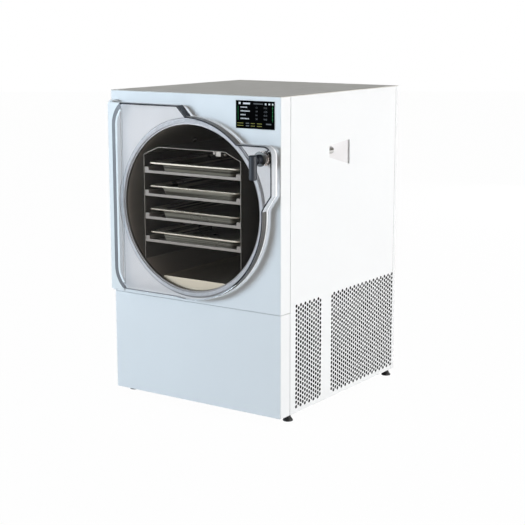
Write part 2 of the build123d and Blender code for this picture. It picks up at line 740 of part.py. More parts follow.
def drain_valve_body():
    z = FLOOR + DRAIN_RUN_HEIGHT
    body = rod(VALVE_RADIUS, (DRAIN_SIDE, BACK, z), (DRAIN_SIDE, BACK + VALVE_LENGTH * 0.62, z))
    body += rod(DRAIN_TUBE, (DRAIN_SIDE, BACK, z), (DRAIN_SIDE, BACK + VALVE_LENGTH, z))
    centre = BACK + VALVE_LENGTH * 0.31
    body += rod(6.0, (DRAIN_SIDE, centre, z), (DRAIN_SIDE, centre, z + VALVE_RADIUS + 3))
    body -= rod(VALVE_STEM + RUNNING_GAP, (DRAIN_SIDE, centre, z + 5), (DRAIN_SIDE, centre, z + 20))
    return body - rod(DRAIN_TUBE - 2, (DRAIN_SIDE, BACK - 1, z), (DRAIN_SIDE, BACK + 50, z))


def drain_valve_lever():
    z = FLOOR + DRAIN_RUN_HEIGHT
    centre = BACK + VALVE_LENGTH * 0.31
    top = z + VALVE_RADIUS + 3 + FIT_GAP
    lever = rod(VALVE_STEM, (DRAIN_SIDE, centre, z + 6), (DRAIN_SIDE, centre, top + 3))
    lever += rod(6.5, (DRAIN_SIDE, centre, top), (DRAIN_SIDE, centre, top + 3))
    arm = block((DRAIN_SIDE, DRAIN_SIDE + LEVER_LENGTH), (centre - 5, centre + 5), (top, top + 3))
    return lever + fillet(arm.edges().filter_by(Axis.Z).group_by(Axis.X)[-1], radius=4.5)


# ---- rack, shelves and trays ---------------------------------------------
def rack_foot():
    """Height below the axis where the rack's side plates meet the drum."""
    return math.sqrt((DRUM_RADIUS - FIT_GAP) ** 2 - RACK_HALF ** 2)


def rack_frame():
    foot = AXIS - rack_foot()
    side_top = AXIS + RACK_SIDE_TOP
    top = AXIS + RACK_TOP
    corner = RACK_TOP_WIDTH / 2
    section = folded(
        [(-RACK_HALF, foot), (-RACK_HALF, side_top), (-corner, top), (corner, top),
         (RACK_HALF, side_top), (RACK_HALF, foot)], RACK_SHEET, 3.0, Side.RIGHT)
    return front_plate(section, RACK_FRONT, RACK_FRONT + RACK_LENGTH)


def shelf_level(number):
    return AXIS + SHELF_TOP_LEVEL - SHELF_PITCH * (number - 1)


def shelf(number):
    low = shelf_level(number)
    run = (RACK_FRONT + 1, RACK_FRONT + RACK_LENGTH - 1)
    body = block((-RACK_INNER, RACK_INNER), run, (low, low + SHELF_SHEET))
    body += block((-RACK_INNER, RACK_INNER), (run[0], run[0] + SHELF_SHEET), (low, low + SHELF_LIP))
    for side in (-1, 1):
        edges = sorted((side * RACK_INNER, side * (RACK_INNER - RAIL_WIDTH)))
        rail = block(edges, run, (low, low + RAIL_HEIGHT))
        inner = (edges[0] + SHELF_SHEET, edges[1] - SHELF_SHEET)
        rail -= block(inner, (run[0] + SHELF_SHEET, run[1] + 1),
                      (low + SHELF_SHEET, low + RAIL_HEIGHT - SHELF_SHEET))
        body += rail
    return body


def heater_pads():
    half = RACK_INNER - PAD_MARGIN
    run = (RACK_FRONT + PAD_MARGIN, RACK_FRONT + RACK_LENGTH - PAD_MARGIN)
    levels = [shelf_level(number) for number in range(1, SHELF_COUNT + 1)]
    return Compound([block((-half, half), run, (low - PAD_THICKNESS, low)) for low in levels])


def tray(number):
    low = shelf_level(number) + SHELF_SHEET
    rim = low + TRAY_RIM_HEIGHT
    front = RACK_FRONT + SHELF_SHEET + 1.5
    centre = front + TRAY_LENGTH / 2
    half = TRAY_RIM_WIDTH / 2
    mouth = (2 * (half - TRAY_SIDE_RIM), TRAY_LENGTH - 2 * TRAY_FRONT_RIM)

    def rounded(width, depth, z, radius):
        return Pos(0, centre, z) * RectangleRounded(width, depth, radius)

    def bowl(inset, bottom, top):
        floor_size = [side - 2 * (TRAY_DRAFT + inset) for side in mouth]
        mouth_size = [side - 2 * inset for side in mouth]
        radius = TRAY_CORNER - inset
        return loft([rounded(*floor_size, bottom, radius), rounded(*mouth_size, top, radius)])

    body = bowl(0, low, rim)
    plate = extrude(rounded(2 * half, TRAY_LENGTH, rim - TRAY_CURL, TRAY_CORNER), amount=TRAY_CURL)
    under = extrude(rounded(2 * (half - TRAY_WALL), TRAY_LENGTH - 2 * TRAY_WALL,
                            rim - TRAY_CURL - 1, TRAY_CORNER - TRAY_WALL),
                    amount=1 + TRAY_CURL - TRAY_WALL)
    body = plate - under + body
    return body - bowl(TRAY_WALL, low + TRAY_WALL, rim + 0.01)


def drip_pan():
    run = (DRIP_FRONT, DRIP_FRONT + DRIP_LENGTH)
    rim = AXIS - DRIP_TOP

    def segment(radius, half, start, end, top):
        space = block((-half, half), (start, end), (AXIS - DRUM_RADIUS, top))
        return space & rod(radius, (0, start - 1, AXIS), (0, end + 1, AXIS))

    outer = segment(DRUM_RADIUS - FIT_GAP, DRIP_HALF_WIDTH, run[0], run[1], rim)
    inner = segment(DRUM_RADIUS - FIT_GAP - DRIP_WALL, DRIP_HALF_WIDTH - DRIP_WALL,
                    run[0] + DRIP_WALL, run[1] - DRIP_WALL, rim + 1)
    return outer - inner


def rack_plug():
    top = AXIS + RACK_TOP - RACK_SHEET
    middle = RACK_FRONT + 10
    body = block((58, 70), (middle - 7, middle + 7), (top - 9, top))
    body = fillet(body.edges().filter_by(Axis.Y), radius=1.5)
    for x in (52.0, 55.0):
        body += block((x - 1, x + 1), (middle - 6, middle + 6), (top - 6, top))
    body += block((51, 60), (middle - 4, middle + 4), (top - 3, top))
    body += rod(1.5, (69, middle, top - 5), (75, middle, top - 5))
    return body + Pos(76, middle, top - 5) * Sphere(3)


# ---- door ----------------------------------------------------------------
def hinge_side_outline(grow=0.0):
    """Outline of the hinge side with its long corner arcs, or a larger copy."""
    half_height = (DOOR_TOP + DOOR_BOTTOM) / 2 + DOOR_CORNER_OVERRUN
    middle = (DOOR_TOP - DOOR_BOTTOM) / 2
    return Pos(0, middle) * RectangleRounded(2 * (DOOR_LEFT + grow), 2 * (half_height + grow),
                                             DOOR_CORNER_RADIUS + grow)


def door_outline():
    """Outline of the clear plate in X and Z about the chamber axis."""
    middle = (DOOR_TOP - DOOR_BOTTOM) / 2
    depth = DOOR_TOP + DOOR_BOTTOM
    band = Pos(-DOOR_LEFT / 2, middle) * Rectangle(DOOR_LEFT, depth)
    shoulder = Polygon((-DOOR_SHOULDER, 0), (SHOULDER_FOOT, 0),
                       (SHOULDER_FOOT, DOOR_RADIUS - SHOULDER_SINK),
                       (-DOOR_SHOULDER, DOOR_TOP), align=None)
    left = (hinge_side_outline() & band) - Polygon((-DOOR_SHOULDER, 0), (1, 0), (1, DOOR_TOP + 1),
                                         (-DOOR_SHOULDER, DOOR_TOP + 1), align=None)
    lobe = Polygon((0, 0), (LOBE_FOOT_X - 10, 0), (LOBE_FOOT_X, LOBE_FOOT_Z),
                   (LOBE_RIGHT, LOBE_BOTTOM), (LOBE_RIGHT, LOBE_TOP), (0, LOBE_TOP), align=None)
    corner = lobe.vertices().group_by(Axis.X)[-1].sort_by(Axis.Y)
    lobe = fillet(corner[-1], radius=LOBE_CORNER)
    return Circle(DOOR_RADIUS) + left + shoulder + lobe


def door_plate():
    plate = Pos(0, 0, AXIS) * front_plate(door_outline(), DOOR_FACE, SEAL_FACE)
    plate = chamfer(plate.faces().sort_by(Axis.Y)[0].outer_wire().edges(), length=0.6)
    return plate - rod(BUSHING_RADIUS + RUNNING_GAP, (LATCH_X, DOOR_FACE - 5, LATCH_HEIGHT),
                       (LATCH_X, SEAL_FACE + 5, LATCH_HEIGHT))


def hinge_leaf():
    """Folded leaf: a sheet behind the plate, a side and a front lip that follows the plate."""
    left = -(DOOR_LEFT + LEAF_LEFT)
    right = -(DOOR_LEFT - LEAF_RIGHT)
    lip = -(DOOR_LEFT - LEAF_LIP)
    back = SEAL_FACE + LEAF_SHEET
    section = folded([(lip, -LEAF_FRONT), (left, -LEAF_FRONT), (left, back), (right, back)],
                     LEAF_SHEET, LEAF_BEND, Side.RIGHT)
    leaf = Pos(0, 0, LEAF_BOTTOM) * extrude(section, amount=LEAF_TOP - LEAF_BOTTOM)
    for low in (LEAF_BOTTOM, LEAF_TOP - LEAF_SHEET):
        leaf += block((left + LEAF_SHEET, lip), (-LEAF_FRONT, SEAL_FACE), (low, low + LEAF_SHEET))
        leaf -= rod(PIN_RADIUS + RUNNING_GAP, (HINGE_X, HINGE_Y, low - 1),
                    (HINGE_X, HINGE_Y, low + LEAF_SHEET + 1))
    leaf -= Pos(0, 0, AXIS) * front_plate(hinge_side_outline(FIT_GAP), DOOR_FACE, SEAL_FACE)
    return leaf - rod(RING_RADIUS + 1.5, (0, SEAL_FACE, AXIS), (0, 5, AXIS))


def hinge_bracket(low, leg, pin_start, pin_end):
    """Tab through the front panel, a leg behind it (down if negative) and the pin."""
    bracket = bracket_tab(low)
    left = HINGE_X - BRACKET_MARGIN
    bracket = fillet(bracket.edges().filter_by(Axis.Z).group_by(Axis.Y)[0], radius=3.0)
    leg_low = min(low, low + BRACKET_THICKNESS + leg)
    leg_high = max(low + BRACKET_THICKNESS, low + leg)
    bracket += block((left, left + BRACKET_WIDTH), (SHEET, SHEET + BRACKET_THICKNESS),
                     (leg_low, leg_high))
    return bracket + rod(PIN_RADIUS, (HINGE_X, HINGE_Y, pin_start), (HINGE_X, HINGE_Y, pin_end))


def hinge_bracket_top():
    low = top_bracket_low()
    return hinge_bracket(low, -BRACKET_LEG, low - PIN_LENGTH, low)


def hinge_bracket_bottom():
    low = bottom_bracket_low()
    high = low + BRACKET_THICKNESS
    return hinge_bracket(low, BRACKET_LEG, high, high + PIN_LENGTH)


# ---- latch ---------------------------------------------------------------
def latch_rod(radius, front, back):
    return rod(radius, (LATCH_X, front, LATCH_HEIGHT), (LATCH_X, back, LATCH_HEIGHT))


def bushing_front():
    return DOOR_FACE - BUSHING_HEAD_THICKNESS


def latch_bushing():
    sleeve = latch_rod(BUSHING_RADIUS, DOOR_FACE, SEAL_FACE + NUT_THICKNESS)
    head = latch_rod(BUSHING_HEAD, bushing_front(), DOOR_FACE)
    head = chamfer(head.faces().sort_by(Axis.Y)[0].edges(), length=0.6)
    return sleeve + head - latch_rod(SPINDLE_RADIUS + RUNNING_GAP, DOOR_FACE - 10, 5)


def latch_nut():
    outer = Pos(LATCH_X, LATCH_HEIGHT) * RegularPolygon(NUT_ACROSS_FLATS / 2, 6, major_radius=False)
    nut = front_plate(outer, SEAL_FACE, SEAL_FACE + NUT_THICKNESS)
    return nut - latch_rod(BUSHING_RADIUS + RUNNING_GAP, SEAL_FACE - 1, 1)


def keeper_back():
    return SHEET + KEEPER_THICKNESS


def dog_front():
    return keeper_back() + DOG_GAP


def latch_keeper():
    plate = block((LATCH_X - KEEPER_WIDTH / 2, LATCH_X + KEEPER_WIDTH / 2), (SHEET, keeper_back()),
                  (LATCH_HEIGHT - KEEPER_HEIGHT / 2, LATCH_HEIGHT + KEEPER_HEIGHT / 2))
    half_slot = DOG_WIDTH / 2 + SLOT_CLEARANCE
    half_tall = DOG_LENGTH / 2 + SLOT_CLEARANCE
    return plate - block((LATCH_X - half_slot, LATCH_X + half_slot), (SHEET - 1, keeper_back() + 1),
                         (LATCH_HEIGHT - half_tall, LATCH_HEIGHT + half_tall))


def latch_spindle():
    hub_middle = bushing_front() - FIT_GAP - HUB_LENGTH * 0.6
    spindle = latch_rod(SPINDLE_RADIUS, hub_middle, dog_front())
    return spindle + latch_rod(DOG_BORE, dog_front(), dog_front() + DOG_THICKNESS + 1)


def latch_dog():
    body = block((LATCH_X - DOG_WIDTH / 2, LATCH_X + DOG_WIDTH / 2),
                 (dog_front(), dog_front() + DOG_THICKNESS),
                 (LATCH_HEIGHT - DOG_LENGTH / 2, LATCH_HEIGHT + DOG_LENGTH / 2))
    body = chamfer(body.edges().filter_by(Axis.X), length=0.8)
    return body - latch_rod(DOG_BORE + RUNNING_GAP / 2, 0, 50)


def latch_handle():
    back = bushing_front() - FIT_GAP
    hub = latch_rod(HUB_RADIUS, back - HUB_LENGTH, back)
    hub = fillet(hub.faces().sort_by(Axis.Y)[0].edges(), radius=1.5)
    neck = latch_rod(NECK_RADIUS, -GRIP_FORWARD, back - HUB_LENGTH + 2)
    grip = rod(GRIP_RADIUS, (LATCH_X, -GRIP_FORWARD, LATCH_HEIGHT - GRIP_BELOW),
               (LATCH_X, -GRIP_FORWARD, LATCH_HEIGHT + GRIP_ABOVE))
    grip = fillet(grip.edges(), radius=2.5)
    bore = latch_rod(SPINDLE_RADIUS + RUNNING_GAP / 2, back - HUB_LENGTH * 0.6, back + 1)
    return hub + neck + grip - bore


# ---- touchscreen ---------------------------------------------------------
def screen_block(grow, front, back):
    return block((SCREEN_X - grow, SCREEN_X + SCREEN_WIDTH + grow), (front, back),
                 (FLOOR + SCREEN_Z - grow, FLOOR + SCREEN_Z + SCREEN_HEIGHT + grow))


def touchscreen_body():
    bezel = screen_block(BEZEL, -BEZEL_PROUD, 0)
    bezel = chamfer(bezel.faces().sort_by(Axis.Y)[0].edges(), length=0.4)
    body = bezel + screen_block(SCREEN_CASE, 0, SCREEN_DEPTH)
    return body - screen_block(0, -BEZEL_PROUD - 1, GLASS_THICKNESS - BEZEL_PROUD)


def touchscreen_glass():
    return screen_block(-RUNNING_GAP, -BEZEL_PROUD, GLASS_THICKNESS - BEZEL_PROUD)


# ---- refrigeration unit --------------------------------------------------
def plate_level():
    return FLOOR + SHEET + GROMMET_HEIGHT


def compressor():
    low = plate_level()
    shell_low = low + COMPRESSOR_PLATE_THICKNESS
    place = (COMPRESSOR_X, COMPRESSOR_Y)
    band = shell_low + COMPRESSOR_HEIGHT * 0.45
    shell = rod(COMPRESSOR_RADIUS, (*place, shell_low), (*place, shell_low + COMPRESSOR_HEIGHT))
    shell = fillet(shell.faces().sort_by(Axis.Z)[-1].edges(), radius=COMPRESSOR_RADIUS * 0.55)
    body = shell + rod(COMPRESSOR_RADIUS + 3, (*place, band), (*place, band + 4))
    body += block((COMPRESSOR_X - COMPRESSOR_PLATE_WIDTH / 2, COMPRESSOR_X + COMPRESSOR_PLATE_WIDTH / 2),
                  (COMPRESSOR_Y - COMPRESSOR_PLATE_DEPTH / 2, COMPRESSOR_Y + COMPRESSOR_PLATE_DEPTH / 2),
                  (low, shell_low))
    for x, y in compressor_bolt_places():
        body -= rod(5.0, (x, y, low - 1), (x, y, shell_low + 1))
    return body


def compressor_grommets():
    low = FLOOR + SHEET
    grommets = []
    for x, y in compressor_bolt_places():
        grommet = rod(GROMMET_RADIUS, (x, y, low), (x, y, low + GROMMET_HEIGHT))
        grommet += rod(4.9, (x, y, low), (x, y, low + GROMMET_HEIGHT + 8))
        grommets.append(grommet)
    return Compound(grommets)


def condenser_right():
    return HALF - CONDENSER_GAP


def condenser_left():
    return condenser_right() - CONDENSER_THICKNESS


def condenser_rows():
    pitch = CONDENSER_HEIGHT / CONDENSER_ROWS
    low = FLOOR + CONDENSER_RAISE + pitch / 2
    return [low + pitch * row for row in range(CONDENSER_ROWS)]


def condenser_coil():
    left, right = condenser_left(), condenser_right()
    low = FLOOR + CONDENSER_RAISE
    end = CONDENSER_FRONT + CONDENSER_WIDTH
    pitch = (CONDENSER_WIDTH - FIN_THICKNESS) / (FIN_COUNT - 1)
    fins = []
    for i in range(1, FIN_COUNT - 1):
        y = CONDENSER_FRONT + pitch * i
        fins.append(block((left, right), (y, y + FIN_THICKNESS), (low, low + CONDENSER_HEIGHT)))
    for y in (CONDENSER_FRONT, end - FIN_THICKNESS):
        fins.append(block((left, right), (y, y + FIN_THICKNESS),
                          (FLOOR + SHEET, low + CONDENSER_HEIGHT)))
    middle = (left + right) / 2
    tubes = [rod(CONDENSER_TUBE, (middle, CONDENSER_FRONT - 4, z), (middle, end + 4, z))
             for z in condenser_rows()]
    return tubes[0] + tubes[1:] + fins


def fan_centre():
    return CONDENSER_FRONT + CONDENSER_WIDTH / 2, FLOOR + CONDENSER_RAISE + CONDENSER_HEIGHT / 2


def fan_rod(radius, left, right):
    y, z = fan_centre()
    return rod(radius, (left, y, z), (right, y, z))


def fan_front():
    """X of the fan hub's left face."""
    return condenser_left() - SHROUD_SHEET - 6 - FAN_HUB_LENGTH


def fan_shroud():
    y, z = fan_centre()
    right = condenser_left() - 1
    left = right - SHROUD_SHEET
    ring = FAN_RADIUS + FAN_TIP_GAP
    ring_left = fan_front() - 8
    plate = block((left, right), (CONDENSER_FRONT, CONDENSER_FRONT + CONDENSER_WIDTH),
                  (FLOOR + SHEET, FLOOR + CONDENSER_RAISE + CONDENSER_HEIGHT))
    plate -= fan_rod(ring, left - 1, right + 1)
    collar = fan_rod(ring + SHROUD_SHEET, ring_left, left) - fan_rod(ring, ring_left - 1, left + 1)
    arm = block((ring_left, ring_left + 4), (-4, 4), (MOTOR_RADIUS + 1, ring + SHROUD_SHEET / 2))
    arms = [Pos(0, y, z) * Rot(turn, 0, 0) * arm for turn in (0, 120, 240)]
    seat = fan_rod(MOTOR_RADIUS + SHROUD_SHEET, ring_left, ring_left + 4)
    seat -= fan_rod(MOTOR_RADIUS + RUNNING_GAP, ring_left - 1, ring_left + 5)
    return plate + collar + arms + seat


def fan_motor():
    right = fan_front() - 4
    motor = fan_rod(MOTOR_RADIUS, right - MOTOR_LENGTH, right)
    motor = fillet(motor.edges().group_by(Axis.X)[0], radius=2.0)
    return motor - fan_rod(SHAFT_RADIUS + RUNNING_GAP, right - MOTOR_LENGTH + 6, right + 1)


def fan_blades():
    y, z = fan_centre()
    left = fan_front()
    wheel = fan_rod(FAN_HUB_RADIUS, left, left + FAN_HUB_LENGTH)
    wheel += fan_rod(SHAFT_RADIUS, left - 4 - MOTOR_LENGTH + 8, left)
    span = FAN_RADIUS - FAN_HUB_RADIUS + 3
    blade = Rot(0, 0, BLADE_PITCH) * Box(BLADE_THICKNESS, BLADE_CHORD, span)
    blade = Pos(left + FAN_HUB_LENGTH / 2, 0, FAN_HUB_RADIUS - 3 + span / 2) * blade
    limit = fan_rod(FAN_RADIUS, left - 20, left + FAN_HUB_LENGTH + 20)
    for i in range(FAN_BLADES):
        wheel += Pos(0, y, z) * Rot(i * 360 / FAN_BLADES, 0, 0) * blade & limit
    return wheel


def drier_points():
    z = FLOOR + SHEET + DRIER_RADIUS + 1
    return (95.0, 90.0, z), (95.0, 90.0 + DRIER_LENGTH, z)


def filter_drier():
    start, end = drier_points()
    shell = rod(DRIER_RADIUS, start, end)
    shell = fillet(shell.edges(), radius=5.0)
    foot = block((start[0] - 8, start[0] + 8), (start[1] + 28, start[1] + 42),
                 (FLOOR + SHEET, start[2] - DRIER_RADIUS + 2))
    return shell + foot


def refrigerant_lines():
    """Discharge, liquid and suction lines, one solid each."""
    middle = (condenser_left() + condenser_right()) / 2
    rows = condenser_rows()
    end = CONDENSER_FRONT + CONDENSER_WIDTH + 4
    shell_y = COMPRESSOR_Y + COMPRESSOR_RADIUS
    height = plate_level() + 85
    discharge = pipe([(COMPRESSOR_X + 20, shell_y - 4, height), (COMPRESSOR_X + 20, end + 12, height),
                      (COMPRESSOR_X + 20, end + 12, rows[-1]), (middle, end + 12, rows[-1]),
                      (middle, end, rows[-1])], GAS_TUBE, 5.5)
    drier_in, drier_out = drier_points()
    liquid = pipe([(middle, CONDENSER_FRONT - 4, rows[0]), (middle, drier_out[1] + 20, rows[0]),
                   (drier_out[0], drier_out[1] + 20, drier_out[2]), drier_out], GAS_TUBE, 7.0)
    header = header_point(-1, header_end())
    suction = pipe([header, (header[0], header[1] + 14, header[2]),
                    (header[0], header[1] + 14, height + 17),
                    (COMPRESSOR_X - 20, header[1] + 14, height + 17),
                    (COMPRESSOR_X - 20, shell_y - 6, height + 17)], GAS_TUBE, 6.0)
    place = (COMPRESSOR_X, COMPRESSOR_Y)
    shell = rod(COMPRESSOR_RADIUS, (*place, plate_level()), (*place, FLOOR + DECK_HEIGHT))
    return Compound([discharge - shell, liquid, suction - shell])


# ---- electrics -----------------------------------------------------------
def board_x():
    return -INNER + STANDOFF_LENGTH


def board_holes():
    inset = 6.0
    return [(y, z) for y in (BOARD_FRONT + inset, BOARD_FRONT + BOARD_LENGTH - inset)
            for z in (FLOOR + BOARD_LOW + inset, FLOOR + BOARD_LOW + BOARD_HEIGHT - inset)]


def control_board():
    x = board_x()
    low = FLOOR + BOARD_LOW
    board = block((x, x + BOARD_THICKNESS), (BOARD_FRONT, BOARD_FRONT + BOARD_LENGTH),
                  (low, low + BOARD_HEIGHT))
    face = x + BOARD_THICKNESS
    for y, z, depth, width, height in ((16, 18, 22, 34, 40), (62, 22, 14, 16, 30), (84, 22, 14, 16, 30),
                                       (108, 14, 9, 40, 12), (60, 62, 6, 26, 10), (106, 44, 4, 26, 26)):
        board += block((face, face + depth), (BOARD_FRONT + y, BOARD_FRONT + y + width),
                       (low + z, low + z + height))
    return board


def board_standoffs():
    return Compound([rod(STANDOFF_RADIUS, (-INNER, y, z), (board_x(), y, z))
                     for y, z in board_holes()])


def power_inlet():
    body = rear_block(INLET_WIDTH, INLET_HEIGHT, INLET_Z, -24, 0)
    body += rear_block(INLET_WIDTH + 2 * INLET_FLANGE, INLET_HEIGHT + 2 * INLET_FLANGE, INLET_Z, 0, 2)
    body -= rear_block(INLET_WIDTH - 3, INLET_HEIGHT - 4, INLET_Z, -16, 3)
    z = FLOOR + INLET_Z
    for x, height in ((-7, 0), (0, 3), (7, 0)):
        body += block((INLET_X + x - 1, INLET_X + x + 1), (BACK - 17, BACK - 3), (z + height - 2, z + height + 2))
    return body


def switch_housing():
    body = rear_block(SWITCH_WIDTH, SWITCH_HEIGHT, SWITCH_Z, -SWITCH_DEPTH, 0)
    body += rear_block(SWITCH_WIDTH + 4, SWITCH_HEIGHT + 4, SWITCH_Z, 0, 2)
    body -= rear_block(SWITCH_WIDTH - 2 * SWITCH_WALL, SWITCH_HEIGHT - 2 * SWITCH_WALL,
                       SWITCH_Z, -SWITCH_DEPTH + 2, 3)
    return body - trunnion(SWITCH_WIDTH / 2 - 0.5, TRUNNION_RADIUS + RUNNING_GAP)


def trunnion(half, radius):
    """Pin across the rocker switch, where the rocker turns."""
    y, z = rocker_axis()
    return rod(radius, (INLET_X - half, y, z), (INLET_X + half, y, z))


def rocker_axis():
    return BACK - 4.0, FLOOR + SWITCH_Z


def power_rocker():
    y, z = rocker_axis()
    half = SWITCH_HEIGHT / 2 - SWITCH_WALL - 2.0
    half_width = SWITCH_WIDTH / 2 - SWITCH_WALL - 0.3
    rocker = Polygon((-3.0, -6.0), (3.5, -half), (7.2, -half), (5.2, 0), (7.2, half), (3.5, half),
                     (-3.0, 6.0), align=None)
    body = Pos(-half_width, 0, 0) * extrude(Plane.YZ * rocker, amount=2 * half_width)
    body = Pos(INLET_X, y, z) * Rot(-ROCKER_TRAVEL / 2, 0, 0) * body
    return body + trunnion(SWITCH_WIDTH / 2 - 1.0, TRUNNION_RADIUS)


PIECES = {
    "base_pan": base_pan, "front_upper_panel": front_upper_panel,
    "front_lower_panel": front_lower_panel, "side_panel_right": side_panel_right,
    "side_panel_left": side_panel_left, "top_panel": top_panel, "rear_panel": rear_panel,
    "hose_pocket": hose_pocket, "vacuum_port": vacuum_port, "vacuum_line": vacuum_line,
    "levelling_feet": levelling_feet, "foot_lock_nuts": foot_lock_nuts,
    "panel_screws": panel_screws, "chamber_drum": chamber_drum,
    "chamber_flange": chamber_flange, "door_gasket": door_gasket,
    "evaporator_coil": evaporator_coil, "chamber_insulation": chamber_insulation,
    "chamber_cradle": chamber_cradle, "chamber_probe": chamber_probe,
    "drain_line": drain_line, "drain_valve_body": drain_valve_body,
    "drain_valve_lever": drain_valve_lever, "compressor": compressor,
    "compressor_grommets": compressor_grommets, "condenser_coil": condenser_coil,
    "fan_shroud": fan_shroud, "fan_motor": fan_motor, "fan_blades": fan_blades,
    "filter_drier": filter_drier, "refrigerant_lines": refrigerant_lines,
    "control_board": control_board, "board_standoffs": board_standoffs,
    "power_inlet": power_inlet, "switch_housing": switch_housing,
    "power_rocker": power_rocker, "touchscreen_body": touchscreen_body,
    "touchscreen_glass": touchscreen_glass, "door_plate": door_plate,
    "hinge_leaf": hinge_leaf, "hinge_bracket_top": hinge_bracket_top,
    "hinge_bracket_bottom": hinge_bracket_bottom, "latch_bushing": latch_bushing,
    "latch_nut": latch_nut, "latch_keeper": latch_keeper, "latch_spindle": latch_spindle,
    "latch_handle": latch_handle, "latch_dog": latch_dog, "rack_frame": rack_frame,
    "heater_pads": heater_pads, "drip_pan": drip_pan, "rack_plug": rack_plug,
}
for count in range(1, SHELF_COUNT + 1):
    PIECES[f"shelf_{count}"] = lambda number=count: shelf(number)
    PIECES[f"tray_{count}"] = lambda number=count: tray(number)


def main():
    """Build every piece, move it to the object's origin and write its STEP file."""
    os.makedirs("parts", exist_ok=True)
    for node, make in PIECES.items():
        piece = Pos(0, -ORIGIN_Y, 0) * make()
        export_step(piece, f"parts/{node}.step")
        box = piece.bounding_box()
        print(f"{node}: {len(piece.solids())} solid(s), "
              f"{[round(v, 1) for v in (*box.min, *box.max)]}")


if __name__ == "__main__":
    main()
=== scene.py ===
"""Looks of the benchtop freeze dryer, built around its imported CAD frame."""

import json
import logging
import math
from collections.abc import Callable, Sequence
from dataclasses import dataclass
from enum import Enum

import bpy
from mathutils import Matrix, Vector

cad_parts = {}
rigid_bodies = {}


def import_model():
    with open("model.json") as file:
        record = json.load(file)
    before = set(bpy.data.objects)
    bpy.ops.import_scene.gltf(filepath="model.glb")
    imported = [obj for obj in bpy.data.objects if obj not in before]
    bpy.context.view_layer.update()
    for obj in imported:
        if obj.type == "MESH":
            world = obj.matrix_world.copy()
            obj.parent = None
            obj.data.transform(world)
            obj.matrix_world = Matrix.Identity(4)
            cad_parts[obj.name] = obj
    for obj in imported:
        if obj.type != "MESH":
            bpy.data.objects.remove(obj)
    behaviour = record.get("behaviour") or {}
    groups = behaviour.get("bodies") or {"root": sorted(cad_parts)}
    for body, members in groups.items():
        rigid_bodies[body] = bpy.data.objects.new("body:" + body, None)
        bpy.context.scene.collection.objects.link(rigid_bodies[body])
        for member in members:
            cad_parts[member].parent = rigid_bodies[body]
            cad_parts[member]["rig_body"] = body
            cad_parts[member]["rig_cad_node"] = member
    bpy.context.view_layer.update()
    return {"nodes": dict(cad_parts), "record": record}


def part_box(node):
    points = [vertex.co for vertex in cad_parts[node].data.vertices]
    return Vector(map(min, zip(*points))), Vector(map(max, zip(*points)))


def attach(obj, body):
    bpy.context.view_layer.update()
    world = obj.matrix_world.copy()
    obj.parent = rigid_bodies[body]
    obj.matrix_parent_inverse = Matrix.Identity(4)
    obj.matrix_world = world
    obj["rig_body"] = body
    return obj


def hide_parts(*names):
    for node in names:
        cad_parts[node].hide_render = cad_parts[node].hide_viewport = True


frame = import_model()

log = logging.getLogger("freeze_dryer")
Colour = tuple[float, float, float]
Point = tuple[float, float, float]
Item = bpy.types.Object
Socket = bpy.types.NodeSocket
MM = 0.001
WELD = 1e-6                 # corners nearer than this are one corner
FLAT = 0.9                  # a normal's least share along Y on a face that looks forward or back
UPRIGHT = 0.3               # its largest share along Y on an edge face


class Body(Enum):
    """Rigid bodies of the frame that a piece can ride on."""

    CABINET = "cabinet"
    DOOR = "door"
    LATCH = "latch"
    FAN = "fan"
    ROCKER = "rocker"
    DRAIN_LEVER = "drain_lever"


class Run(Enum):
    """Direction in which a brushed or drawn finish runs, as a stretch of the grain."""

    ACROSS = (0.02, 1.0, 1.0)
    DEEP = (1.0, 0.02, 1.0)


# ---- finishes ------------------------------------------------------------
def dimmed(colour: Colour, share: float) -> Colour:
    """Returns a share of a colour."""
    return tuple(part * share for part in colour)


